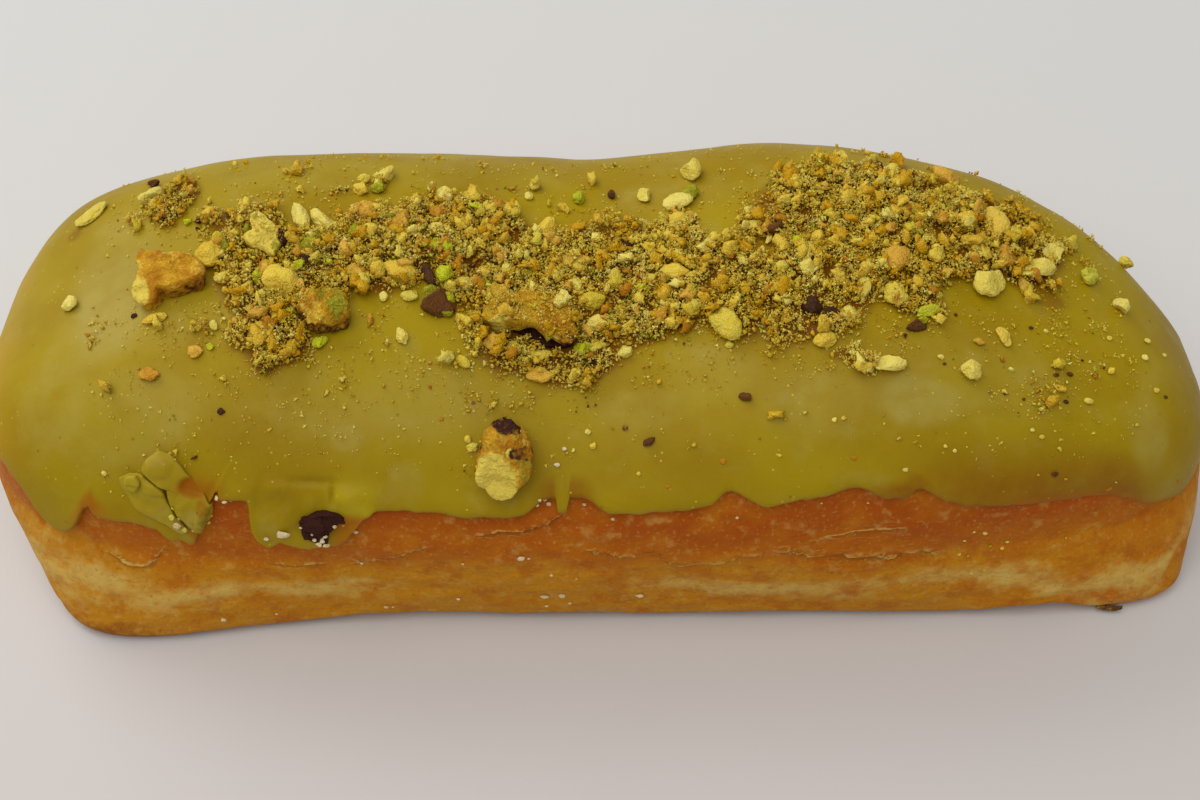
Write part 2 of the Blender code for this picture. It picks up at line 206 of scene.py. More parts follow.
def wrap(rows: int, columns: int) -> list[Array]:
    """Faces of a closed surface: rings of points between a first and a last single point.

    Args:
        rows: How many rings.
        columns: How many points a ring has.

    Returns:
        Quads between the rings, and the triangles round either pole. Point 0 is the first pole, and
        the last point is the other.
    """
    here = np.arange(columns)
    there = (here + 1) % columns
    row = 1 + columns * np.arange(rows - 1)[:, None]
    quads = np.stack([row + here, row + there, row + columns + there, row + columns + here], axis=-1)
    top = 1 + columns * (rows - 1)
    last = np.full(columns, 1 + columns * rows)
    first_fan = np.stack([np.zeros_like(here), 1 + there, 1 + here], axis=-1)
    last_fan = np.stack([last, top + here, top + there], axis=-1)
    return [quads.reshape(-1, 4), np.concatenate([first_fan, last_fan])]


def with_poles(first: Array, rings: Array, last: Array) -> Array:
    """Rows of points in the order that wrap() counts them in."""
    return np.concatenate([first[None], rings.reshape(-1, *rings.shape[2:]), last[None]])


# ---------------------------------------------------------------- shaders from expressions


class Value:
    """A socket that carries a number, so that shader maths reads as arithmetic."""

    def __init__(self, graph: "Graph", socket: bpy.types.NodeSocket) -> None:
        """Wraps a socket of a node in graph."""
        self.graph = graph
        self.socket = socket

    def _math(self, operation: str, *values: Input) -> "Value":
        """The result of a Math node on the values."""
        made = self.graph.node("Math", {"operation": operation}, dict(enumerate(values)))
        return Value(self.graph, made.outputs[0])

    def __add__(self, other: Input) -> "Value":
        """self + other."""
        return self._math("ADD", self, other)

    def __sub__(self, other: Input) -> "Value":
        """self - other."""
        return self._math("SUBTRACT", self, other)

    def __rsub__(self, other: Input) -> "Value":
        """other - self."""
        return self._math("SUBTRACT", other, self)

    def __mul__(self, other: Input) -> "Value":
        """self * other."""
        return self._math("MULTIPLY", self, other)

    __radd__ = __add__
    __rmul__ = __mul__

    def step(self, low: float, high: float) -> "Value":
        """A smooth step of self, from 0 at low to 1 at high."""
        settings = {"interpolation_type": "SMOOTHSTEP"}
        made = self.graph.node("MapRange", settings, {0: self, 1: low, 2: high})
        return Value(self.graph, made.outputs[0])


class Graph:
    """A material's nodes, all made by one method."""

    def __init__(self, name: str) -> None:
        """Starts a material with a Principled shader.

        Args:
            name: The material's name.
        """
        self.material = bpy.data.materials.new(name)
        self.material.use_nodes = True
        self.tree = self.material.node_tree
        self.shader = self.tree.nodes["Principled BSDF"]
        self.place = self.node("TexCoord", {}, {}).outputs["Object"]

    def node(self, kind: str, settings: dict[str, object], inputs: dict[int | str, Input]) -> bpy.types.Node:
        """Makes a shader node, sets it up and fills its sockets.

        Args:
            kind: The node's type, without the word ShaderNode.
            settings: Its own settings, which decide which sockets it has.
            inputs: What each input gets, by name or number: a constant or a link.

        Returns:
            The node.
        """
        made = self.tree.nodes.new("ShaderNode" + kind)
        for key, value in settings.items():
            setattr(made, key, value)
        for key, value in inputs.items():
            self.fill(made.inputs[key], value)
        return made

    def fill(self, socket: bpy.types.NodeSocket, value: Input) -> None:
        """Links a socket to a value, or sets the constant on it."""
        if isinstance(value, Value):
            self.tree.links.new(value.socket, socket)
        elif isinstance(value, bpy.types.NodeSocket):
            self.tree.links.new(value, socket)
        elif isinstance(value, tuple) and socket.type == "RGBA":
            socket.default_value = (*value, 1.0)
        else:
            socket.default_value = value

    def painted(self, name: str) -> Value:
        """The mesh's own numbers of that name."""
        return Value(self, self.node("Attribute", {"attribute_name": name}, {}).outputs["Fac"])

    def noise(self, size: float, detail: float = 2.0, stretch: Colour = (1.0, 1.0, 1.0)) -> Value:
        """Noise over the object, from 0 to 1.

        Args:
            size: How large its coarsest blotches are, in millimetres.
            detail: How many finer layers it has.
            stretch: How much finer it is along each axis.

        Returns:
            The noise.
        """
        turned = self.node("Mapping", {}, {"Vector": self.place, "Scale": stretch}).outputs[0]
        inputs = {"Vector": turned, "Scale": 1 / (size * MM), "Detail": detail}
        return Value(self, self.node("TexNoise", {}, inputs).outputs["Fac"])

    def cells(self, size: float) -> Value:
        """The distance to the nearest of scattered points, size millimetres apart."""
        inputs = {"Vector": self.place, "Scale": 1 / (size * MM)}
        return Value(self, self.node("TexVoronoi", {}, inputs).outputs["Distance"])

    def mix(self, share: Input, first: Input, second: Input) -> bpy.types.NodeSocket:
        """A colour that goes from first to second as share goes from 0 to 1."""
        settings = {"data_type": "RGBA", "clamp_factor": True}
        return self.node("Mix", settings, {0: share, 6: first, 7: second}).outputs[2]

    def relief(self, height: Value, depth: float) -> None:
        """Raises the surface by depth millimetres where height is 1, as a bump."""
        inputs = {"Height": height, "Distance": depth * MM, "Strength": 1.0}
        self.fill(self.shader.inputs["Normal"], self.node("Bump", {}, inputs).outputs[0])

    def finish(self, **sockets: Input) -> bpy.types.Material:
        """Fills the shader's sockets and gives the material.

        Args:
            sockets: What each socket gets, named with _ for a space.

        Returns:
            The finished material.
        """
        for key, value in sockets.items():
            self.fill(self.shader.inputs[key.replace("_", " ")], value)
        return self.material


# ---------------------------------------------------------------- finishes


@dataclass(frozen=True)
class DoughFinish:
    """Fried crust: red brown under the icing, golden below, a pale band, and torn pale skin with painted
    shade under its lips.
    """

    crust: Colour = (0.48, 0.145, 0.002)
    blush: Colour = (0.40, 0.080, 0.001)
    golden: Colour = (0.54, 0.225, 0.005)
    band: Colour = (0.63, 0.41, 0.09)
    underside: Colour = (0.51, 0.215, 0.012)
    rim: Colour = (0.26, 0.075, 0.004)
    torn: Colour = (0.70, 0.44, 0.11)
    # Dark dots of pores, and the painted shadow under the torn lips.
    pore_and_lip_shadow: Colour = (0.30, 0.085, 0.002)

    def material(self) -> bpy.types.Material:
        """The material, which reads the painted numbers golden, pale, red, brown, rim, tear and lip."""
        g = Graph("fried dough")
        blotch = g.noise(6, 4)
        fine = g.noise(1.5, 4)
        speck = g.noise(0.55, 3)
        colour = g.mix(g.painted("red") * blotch.step(0.25, 0.6), self.crust, self.blush)
        colour = g.mix((g.painted("golden") + 1.2 * (blotch - 0.5)).step(0.2, 0.8), colour, self.golden)
        pale = g.painted("pale") + 1.1 * (blotch - 0.5) + 0.5 * (fine - 0.5)
        colour = g.mix(pale.step(0.15, 0.85), colour, self.band)
        colour = g.mix((g.painted("brown") + 1.1 * (blotch - 0.5)).step(0.3, 0.9), colour, self.underside)
        patches = g.noise(3.2, 5).step(0.50, 0.66) * (1 - 0.6 * g.painted("pale"))
        colour = g.mix(0.45 * patches, colour, self.blush)
        colour = g.mix(0.35 * g.noise(2.1, 5).step(0.56, 0.72), colour, self.band)
        colour = g.mix(0.3 * speck.step(0.56, 0.74), colour, self.torn)
        colour = g.mix(0.45 * (1 - speck.step(0.26, 0.42)), colour, self.pore_and_lip_shadow)
        colour = g.mix((g.painted("rim") + 0.8 * (fine - 0.5)).step(0.2, 0.8), colour, self.rim)
        blisters = g.painted("rim") * g.noise(0.8, 3).step(0.54, 0.66)
        colour = g.mix(0.5 * blisters, colour, self.band)
        ragged = g.painted("tear") + 0.5 * (fine - 0.5)
        lip = ragged.step(-0.25, 0.0) * (1 - ragged.step(0.05, 0.5)) * g.painted("lip")
        colour = g.mix(0.85 * lip * speck.step(0.3, 0.5), colour, self.torn)
        # Painted shadow: a darker band just under each torn lip.
        under = ragged.step(-0.9, -0.35) * (1 - ragged.step(-0.35, -0.1)) * g.painted("lip")
        colour = g.mix(0.5 * under, colour, self.pore_and_lip_shadow)
        g.relief(0.45 * blotch + 0.7 * fine + 0.35 * speck + 0.5 * lip, 0.4)
        return g.finish(Base_Color=colour, Roughness=0.42 + 0.35 * fine, Specular_IOR_Level=0.11,
                        Subsurface_Weight=0.12, Subsurface_Radius=(1.0, 0.4, 0.15), Subsurface_Scale=0.0015)


@dataclass(frozen=True)
class IcingFinish:
    """Set icing: olive green with a soft gloss, painted sheen in whitish patches, and brown where it is
    thin.
    """

    body: Colour = (0.37, 0.26, 0.003)
    deep: Colour = (0.32, 0.205, 0.002)
    lush: Colour = (0.46, 0.36, 0.006)
    # Whitish colour of the painted sheen, standing for soft highlights of the gloss.
    painted_sheen: Colour = (0.40, 0.31, 0.050)
    thin: Colour = (0.27, 0.115, 0.002)
    film: Colour = (0.37, 0.115, 0.002)
    amber: Colour = (0.47, 0.27, 0.008)
    dusty: Colour = (0.66, 0.54, 0.06)
    # Dark brown where crumbs lie: oil soaked from them, and painted shade between them.
    oil_and_crumb_shade: Colour = (0.20, 0.068, 0.002)
    speck: Colour = (0.16, 0.06, 0.02)
    fleck: Colour = (0.20, 0.12, 0.004)

    def material(self) -> bpy.types.Material:
        """The material, which reads the painted numbers lush, thin, film and amber, and those for its
        painted sheen and for the oil and painted shade under crumbs.
        """
        g = Graph("green icing")
        cloud = g.noise(15, 4)
        fine = g.noise(2.4, 4)
        grain = g.noise(0.5, 2)
        colour = g.mix(cloud.step(0.32, 0.66), self.deep, self.body)
        colour = g.mix(g.painted("lush"), colour, self.lush)
        # Painted sheen: whitish patches for soft highlights of the gloss, at its spots and in cloudy noise
        # all over.
        painted_sheen = g.painted("painted_sheen") * (0.55 + 1.3 * (fine - 0.3)) + 0.40 * g.noise(5, 4).step(0.50, 0.76)
        colour = g.mix(painted_sheen + 0.30 * (grain - 0.5), colour, self.painted_sheen)
        colour = g.mix(0.35 * g.noise(9, 4, (1.0, 2.4, 2.4)).step(0.54, 0.72), colour, self.deep)
        colour = g.mix(g.painted("amber") * (0.7 + 0.8 * (fine - 0.4)), colour, self.amber)
        # Darker under the crumbs: oil soaked from them, and painted shade between them.
        colour = g.mix(g.painted("oil_and_crumb_shade") * (0.85 + 0.8 * (fine - 0.4)), colour, self.oil_and_crumb_shade)
        colour = g.mix(g.painted("thin") * (0.8 + 0.9 * (fine - 0.4)), colour, self.thin)
        colour = g.mix(g.painted("film") * (0.8 + 0.9 * (fine - 0.4)), colour, self.film)
        flecks = (1 - g.cells(3.1).step(0.05, 0.11)) * g.noise(6, 1).step(0.48, 0.6)
        colour = g.mix(0.55 * flecks, colour, self.fleck)
        specks = (1 - g.cells(5.5).step(0.035, 0.075)) * g.noise(9, 1).step(0.5, 0.6)
        colour = g.mix(0.8 * specks, colour, self.speck)
        dusty = (1 - g.cells(1.3).step(0.07, 0.15)) * g.noise(7, 2).step(0.48, 0.62)
        colour = g.mix(0.7 * dusty, colour, self.dusty)
        g.relief(0.5 * g.noise(3.5, 3) + 0.10 * grain, 0.14)
        return g.finish(Base_Color=colour, Roughness=0.36 + 0.2 * fine, Specular_IOR_Level=0.10,
                        Subsurface_Weight=0.2, Subsurface_Radius=(1.0, 0.8, 0.2), Subsurface_Scale=0.0012)


@dataclass(frozen=True)
class NutFinish:
    """Broken pistachio: two shades that each crumb lies between, with patches of a third."""

    name: str
    light: Colour
    deep: Colour
    patch: Colour
    roughness: float = 0.7

    def material(self) -> bpy.types.Material:
        """The material, which reads the painted numbers shade and patch."""
        g = Graph(self.name)
        mottle = g.noise(1.1, 4)
        # Small grains: the colour goes darker between them, as painted shade in the gaps.
        dust = 1 - g.cells(0.34).step(0.1, 0.75)
        shade = g.painted("shade") + 1.2 * (mottle - 0.5) + 0.5 * (dust - 0.55)
        colour = g.mix(shade, self.deep, self.light)
        colour = g.mix((g.painted("patch") + 0.8 * (mottle - 0.5)).step(0.35, 0.65), colour, self.patch)
        g.relief(mottle + 0.35 * dust, 0.3)
        return g.finish(Base_Color=colour, Roughness=self.roughness + 0.2 * (dust - 0.5),
                        Specular_IOR_Level=0.15, Subsurface_Weight=0.25, Subsurface_Radius=(1.0, 0.6, 0.15),
                        Subsurface_Scale=0.0008)


class Kind(Enum):
    """The kinds of pistachio crumb, by colour."""

    GOLDEN = NutFinish("golden crumb", (0.80, 0.60, 0.070), (0.56, 0.30, 0.003), (0.66, 0.54, 0.04))
    PALE = NutFinish("pale crumb", (0.84, 0.71, 0.17), (0.64, 0.48, 0.03), (0.54, 0.50, 0.03))
    TAN = NutFinish("tan crumb", (0.72, 0.44, 0.055), (0.46, 0.19, 0.003), (0.74, 0.53, 0.07))
    GREEN = NutFinish("green crumb", (0.60, 0.63, 0.018), (0.26, 0.24, 0.008), (0.66, 0.56, 0.08))
    DARK = NutFinish("dark crumb", (0.15, 0.055, 0.010), (0.042, 0.016, 0.006), (0.60, 0.42, 0.06))
    CHALKY = NutFinish("chalky crumb", (0.82, 0.68, 0.42), (0.66, 0.47, 0.20), (0.70, 0.50, 0.20))


# ---------------------------------------------------------------- the bar's surface


@dataclass(frozen=True)
class BarShape:
    """The surface of the dough bar, as a function of two parameters.

    turn is the angle round the plan. level runs from 0 in the middle of the top, through 1 on the
    widest line, to 2 on the rim of the base. Corners are named front left, front right, back left
    and back right, in that order. Squareness is the plan's exponent, more at squarer corners. The
    base has a half length for either end and a half width for either side. Swell, sag and foot
    each have a place along X, a width and a size.
    """

    half_length: float = 82.0
    half_width: float = 32.2
    height: float = 39.2
    widest_height: float = 14.8
    dome_power: float = 2.4
    length_power: float = 0.62
    base_x: tuple[float, float] = (70.0, 76.0)
    base_y: tuple[float, float] = (31.4, 30.0)
    base_edge_radius: float = 2.5
    undercut_power: float = 1.2
    squaring_power: float = 0.84
    top_squareness: float = 5.4
    widest_squareness: tuple[float, ...] = (3.1, 3.1, 3.6, 1.85)
    base_squareness: tuple[float, ...] = (12.0, 12.0, 5.0, 5.0)
    swell: tuple[float, float, float] = (33.0, 22.0, 3.5)
    sag: tuple[float, float, float] = (-2.0, 16.0, 2.2)
    foot: tuple[float, float, float] = (-66.0, 22.0, 4.5)
    slope: float = 1.15
    right_slant: float = 10.0
    left_slant: float = 3.7
    lump_depth: float = 0.25

    def point(self, turn: Array, level: Array) -> Array:
        """Points of the smooth bar.

        The height follows a rounded dome, (1 - spread ** p) ** (1 / p) with spread the sine of the
        level, and below the widest line falls evenly. The plan is a superellipse at each level.

        Args:
            turn: Angles round the plan.
            level: Levels, shaped like turn.

        Returns:
            Points, with their coordinates last.
        """
        turn, level = np.broadcast_arrays(np.asarray(turn, float), np.asarray(level, float))
        side_x = np.cos(turn) / math.sqrt(self.half_length)
        side_y = np.sin(turn) / math.sqrt(self.half_width)
        spread = np.sin(np.clip(level, 0, 1) * math.pi / 2)
        under = np.clip(level - 1, 0, 1)
        above = level <= 1
        dome = np.maximum(1 - spread**self.dome_power, 0) ** (1 / self.dome_power)
        z_above = self.widest_height + (self.height - self.widest_height) * dome
        z = np.where(above, z_above, self.widest_height * (1 - under))
        half_x, half_y = self.half_sizes(side_x, side_y, spread, under, z)
        squareness = self.squareness(side_x, side_y, spread, under)
        reach = (np.abs(side_x) ** squareness + np.abs(side_y) ** squareness) ** (-1 / squareness)
        return self.uneven(half_x * side_x * reach, half_y * side_y * reach, z, side_y * reach)

    def half_sizes(self, side_x: Array, side_y: Array, spread: Array, under: Array,
                   z: Array) -> tuple[Array, Array]:
        """Half of the plan's length and width, drawn in towards the base and round its edge.

        Args:
            side_x: Which side of the middle each point is on, along X.
            side_y: The same along Y.
            spread: The sine of the level, 1 from the widest line down.
            under: How far below the widest line, from 0 to 1.
            z: Heights.

        Returns:
            Half lengths and half widths.
        """
        tuck = under**self.undercut_power
        radius = self.base_edge_radius
        drop = np.clip(radius - z, 0, radius)
        rounding = np.where(under > 0, radius - np.sqrt(radius**2 - drop**2), 0)
        base_x = np.where(side_x < 0, *self.base_x)
        base_y = np.where(side_y < 0, *self.base_y)
        half_x = self.half_length * spread**self.length_power + (base_x - self.half_length) * tuck
        half_y = self.half_width * spread + (base_y - self.half_width) * tuck
        return half_x - rounding, half_y - rounding

    def squareness(self, side_x: Array, side_y: Array, spread: Array, under: Array) -> Array:
        """The plan's exponent, from the top's through the widest line's to the base's.

        Args:
            side_x: Which side of the middle each point is on, along X.
            side_y: The same along Y.
            spread: The sine of the level, 1 from the widest line down.
            under: How far below the widest line, from 0 to 1.

        Returns:
            Exponents, 2 for an ellipse and more for squarer corners.
        """
        corner = np.where(side_x < 0, 0, 1) + np.where(side_y < 0, 0, 2)
        widest = np.array(self.widest_squareness)[corner]
        base = np.array(self.base_squareness)[corner]
        over = self.top_squareness + (widest - self.top_squareness) * spread**2
        below = 1 / (1 / widest + (1 / base - 1 / widest) * under**self.squaring_power)
        return np.where(under > 0, below, over)

    def uneven(self, x: Array, y: Array, z: Array, forward: Array) -> Array:
        """Adds the swelling, the sag, the foot and the slanted ends of a bar that rose unevenly.

        Args:
            x: Places along X.
            y: Places along Y.
            z: Heights.
            forward: How far round to the front each point is, negative at the front.

        Returns:
            The moved points.
        """
        rise = z / (self.height + 1)
        at, width, size = self.foot
        y = y - np.clip(-2 * forward, 0, 1) * (1 - rise) ** 2 * size * bump(x, at, width)
        swell = self.swell[2] * bump(x, *self.swell[:2]) - self.sag[2] * bump(x, *self.sag[:2])
        z = z + rise * (swell - self.slope * x / self.half_length)
        right = np.maximum(x / self.half_length, 0) ** 2
        left = np.minimum(x / self.half_length, 0) ** 2
        x = x + (self.left_slant * left - self.right_slant * right) * y / self.half_width
        return np.stack([x, y, z], axis=-1)

    def normal(self, turn: Array, level: Array) -> Array:
        """Directions out of the surface, from small steps round and up it."""
        step = 0.001
        level = np.clip(level, 2 * step, 2 - step)
        round_plan = self.point(turn + step, level) - self.point(turn - step, level)
        upwards = self.point(turn, level - step) - self.point(turn, level + step)
        normal = np.cross(round_plan, upwards)
        return normal / np.linalg.norm(normal, axis=-1, keepdims=True)

    def lumps(self, point: Array) -> Array:
        """Low swellings all over the bar: products of slow waves, fading out at the flat base."""
        x, y, z = point[..., 0], point[..., 1], point[..., 2]
        wave = np.sin(x / 7.3 + y / 9.0 + 0.6) * np.sin(z / 5.1 - y / 6.7 + 1.1)
        fine = 0.5 * np.sin(x / 3.9 + z / 4.3) * np.sin(x / 10.7 - y / 4.1)
        return self.lump_depth * (wave + fine) * np.clip(z / 4, 0, 1)

    def skin(self, turn: Array, level: Array, offset: Array) -> Array:
        """The lumpy surface, moved out along its normal by offset."""
        point = self.point(turn, level)
        return point + self.normal(turn, level) * (self.lumps(point) + offset)[..., None]

    def length_per_level(self, turn: Array, level: Array) -> Array:
        """How far down the bar's side one whole level goes, near a level."""
        step = 0.05
        stretch = self.point(turn, level + step) - self.point(turn, level - step)
        return np.linalg.norm(stretch, axis=-1) / (2 * step)

    def pole(self, level: float, offset: float) -> Array:
        """The middle of the top (level 0) or of the base (level 2), moved up by offset."""
        if level > 1:
            return np.zeros(3)
        middle = self.point(0.0, 0.0)
        return middle + np.array([0, 0, offset + float(self.lumps(middle))])


def column_turns(columns: int) -> Array:
    """Angles round the plan, closer together along the broken edge at the front left.

    Args:
        columns: How many angles.

    Returns:
        The angles, from -pi up.
    """
    fine = np.linspace(-math.pi, math.pi, 4000)
    slabs, drips = math.radians(-131), math.radians(-95)
    density = 1 + 1.6 * bump(fine, slabs, 0.2, 4) + 1.2 * bump(fine, drips, 0.12)
    share = np.concatenate([[0], np.cumsum((density[1:] + density[:-1]) / 2)])
    return np.interp(np.arange(columns) / columns * share[-1], share, fine)


# ---------------------------------------------------------------- dough


@dataclass(frozen=True)
class Tear:
    """A line where the front's skin has torn: its course in x and z, and how far its lip rises."""

    course: tuple[tuple[float, float], ...]
    lip: float = 0.35

    def above(self, x: Array, z: Array) -> tuple[Array, Array]:
        """Where points are with respect to the line.

        Args:
            x: Places along X.
            z: Heights.

        Returns:
            How far above the line each point is, and the line's strength there, fading at its ends.
        """
        along, height = np.array(self.course).T
        ends = smooth(x, along[0] - 1.0, along[0] + 0.8) * smooth(x, along[-1] + 1.0, along[-1] - 0.8)
        return z - np.interp(x, along, height), ends


TEARS = (
    Tear(((-64.7, 14.4), (-62.9, 14.0), (-61.0, 13.8), (-58.2, 14.6), (-56.9, 16.8)), 0.4),
    Tear(((-42.6, 14.9), (-39.1, 14.4), (-35.8, 14.6)), 0.2),
    Tear(((-31.4, 15.0), (-27.7, 16.6), (-25.2, 17.4), (-21.8, 19.5)), 0.3),
    Tear(((-14.6, 21.4), (-10.6, 21.7), (-5.9, 22.6), (-4.0, 24.1)), 0.4),
    Tear(((-0.6, 18.4), (2.0, 17.9), (4.1, 16.9), (6.6, 17.7), (8.7, 17.7), (9.9, 16.3), (11.3, 15.3),
          (14.5, 15.3), (16.6, 15.9), (18.4, 16.0), (20.2, 17.1), (22.2, 17.0)), 0.5),
    Tear(((24.4, 18.1), (29.3, 17.3), (34.3, 16.3), (39.8, 15.5), (41.7, 16.2), (43.2, 16.4),
          (46.4, 15.3)), 0.45),
    Tear(((28.9, 20.0), (32.6, 20.7), (35.8, 21.3), (40.6, 21.5)), 0.15),
)


@dataclass(frozen=True)
class Dough:
    """The fried bar, with its torn skin, its fine wrinkles and its bands of colour.

    Each arch is a place where the base's front edge lifts: its middle, its half width and its rise.
    """

    shape: BarShape
    columns: int = 640
    side_rows: int = 124
    covered_rows: int = 14
    covered_to: float = 0.66
    arches: tuple[tuple[float, float, float], ...] = (
        (61.5, 6.5, 1.5), (-24.0, 12.0, 0.9), (-1.0, 7.0, 0.4), (22.0, 6.0, 0.3),
    )
    settling: float = 0.08
    clear: float = 3.0

    def torn(self, point: Array) -> tuple[Array, Array, Array]:
        """The torn lines: each lip stands up above its line, and the dough sinks in below it.

        Args:
            point: Points of the smooth bar.

        Returns:
            Heights in millimetres, how far above the nearest line each point is, and how strong
            that line is there.
        """
        x, z = point[..., 0], point[..., 2] + 0.45 * Grain(15)(point, 1.7, 2)
        front = frontness(point[..., 1])
        height, nearest, strength = np.zeros_like(x), np.full_like(x, self.clear), np.zeros_like(x)
        for tear in TEARS:
            above, ends = tear.above(x, z)
            lip = np.where(above > 0, np.exp(-np.abs(above) / 1.7), -0.7 * np.exp(-np.abs(above) / 1.2))
            height += front * ends * tear.lip * lip
            closer = np.abs(above) < np.abs(nearest)
            nearest = np.where(closer, above, nearest)
            strength = np.where(closer, front * ends, strength)
        return height, nearest, strength

    def colours(self, point: Array) -> dict[str, Array]:
        """The bands of colour, as numbers for the finish.

        Args:
            point: Points of the bar.

        Returns:
            pale, the light band round the waist; golden, the lower half; red, the blush under the
            icing; brown, the fried foot; and rim, its darkest edge.
        """
        grain = Grain(11)
        x = point[..., 0]
        z = point[..., 2] + 1.5 * grain(point, (15, 15, 8), 2)
        middle = 8.8 + 1.2 * bump(x, 48, 14) - 4.6 * smooth(x, 56, 72) + 4.0 * smooth(x, 77, 81.5)
        middle = middle - 0.6 * bump(x, -8, 22)
        width = 3.0 - 0.3 * smooth(x, 40, 60) + 1.4 * bump(x, 72, 5) - 0.6 * smooth(x, 76, 82)
        width = width + 1.4 * smooth(x, -55, -72)
        strength = 0.85 - 0.7 * bump(x, -9, 20) - 0.25 * bump(x, -47, 10) - 0.15 * smooth(x, 72, 80)
        strength = strength * (0.85 + 0.5 * grain(point + 80, (11, 11, 4), 2))
        golden = smooth(z, 19.5, 11) * (1 - 0.45 * smooth(x, 48, 66))
        rim = 0.9 * smooth(point[..., 2], 1.9, 0.4) * (1 - 0.6 * smooth(x, 70, 76))
        rim = rim + 0.6 * bump(x, -67, 9) * smooth(z, 5.0, 2.0)
        return {
            "pale": np.clip(strength * bump(z, middle, width), 0, 1),
            "golden": golden * (0.85 + 0.4 * grain(point, 9, 2)),
            "red": smooth(z, 15, 23),
            "brown": smooth(z, 6.0, 2.0) * (1 - 0.8 * smooth(x, 64, 72)) * (0.8 + 0.4 * grain(point, 7, 2)),
            "rim": np.clip(rim, 0, 1),
        }

    def build(self) -> bpy.types.Object:
        """Makes the bar: rings from the base up, closer together where the dough shows.

        Returns:
            The finished object.
        """
        turn = column_turns(self.columns)[None]
        side = np.linspace(2.0, self.covered_to, self.side_rows, endpoint=False)
        covered = np.linspace(self.covered_to, 0.0, self.covered_rows, endpoint=False)
        level = np.concatenate([side, covered])[:, None]
        turn, level = np.broadcast_arrays(turn, level)
        smooth_bar = self.shape.point(turn, level)
        grain = Grain(5)
        front = frontness(smooth_bar[..., 1]) * smooth(np.abs(smooth_bar[..., 0]), 78, 70)
        depth = (0.10 + 0.14 * front) * smooth(smooth_bar[..., 2], 0.5, 4)
        wrinkles = depth * grain(smooth_bar, (6, 4, 2.4), 3)
        lips, nearest, strength = self.torn(smooth_bar)
        rings = self.shape.skin(turn, level, wrinkles + lips - self.settling)
        rings[0, :, 2] = 0.0
        low = frontness(rings[..., 1]) * smooth(rings[..., 2], 5, 0)
        rings[..., 2] += 0.5 * low * np.maximum(grain(rings, (4.0, 4.0, 9.0), 3), 0)
        for at, half, rise in self.arches:
            rings[..., 2] += rise * low * bump(rings[..., 0], at, half, 4)
        values = self.colours(rings) | {"tear": nearest, "lip": strength}
        ends = {"brown": 0.6, "rim": 0.4, "tear": self.clear}
        painted = {
            key: with_poles(np.array(ends.get(key, 0.0)), value, value[-1, 0])
            for key, value in values.items()
        }
        point = with_poles(self.shape.pole(2, 0), rings, self.shape.pole(0, 0))
        obj = put_mesh("dough_bar", point, wrap(*level.shape), painted)
        obj.data.materials.append(DoughFinish().material())
        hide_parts("dough")
        return obj


# ---------------------------------------------------------------- icing


@dataclass(frozen=True)
class Drip:
    """A stretch of the icing's front edge: where it is along X, how wide, and how far it hangs down."""

    x: float
    half_width: float
    drop: float
    flatness: int = 2


@dataclass(frozen=True)
class Swelling:
    """A place where the icing stands out or sinks in: where, how far it reaches and how much."""

    x: float
    level: float
    half_width: float
    half_levels: float
    rise: float


@dataclass(frozen=True)
class Spot:
    """A soft ellipse in plan: its middle, its half sizes and how strong it is."""

    x: float
    y: float
    half_length: float
    half_width: float
    strength: float = 1.0

    def share(self, x: Array, y: Array) -> Array:
        """The spot's strength at each place, falling off smoothly round its edge."""
        distance = np.hypot((x - self.x) / self.half_length, (y - self.y) / self.half_width)
        return self.strength * smooth(distance, 1.25, 0.6)


DRIPS = tuple(starmap(Drip, (
    (-73.6, 3.0, 0.8), (-69.3, 3.0, 5.9), (-59.0, 9.3, 3.4, 10), (-64.7, 0.9, -2.4), (-55.5, 1.6, 0.8),
    (-52.3, 2.4, 2.6, 4), (-50.4, 1.0, 2.0), (-46.4, 3.0, -1.0, 8), (-48.8, 0.45, -2.0),
    (-36.8, 6.8, 5.9, 10), (-29.2, 1.0, 1.2, 4), (-40.9, 0.8, 0.4), (-39.4, 0.6, -0.4), (-36.2, 1.6, 0.7),
    (-14.5, 6.0, 0.8), (-3.3, 4.4, -2.5, 4), (-3.8, 0.8, 2.1, 8), (18.3, 2.2, -1.9), (23.0, 2.5, 0.7),
    (34.2, 3.2, -1.5), (37.7, 1.2, 0.8), (42.8, 1.5, -1.7), (48.0, 3.0, 0.9), (57.0, 8.0, 1.3, 4),
    (75.0, 6.5, 5.2), (78.2, 2.0, 2.6),
)))
# Waves of the edge at the back: how far each drops, its length, its slant and where it starts.
BACK_WAVES = ((1.3, 6.1, 0.0, 0.8), (0.9, 2.9, 0.2, 0.0))


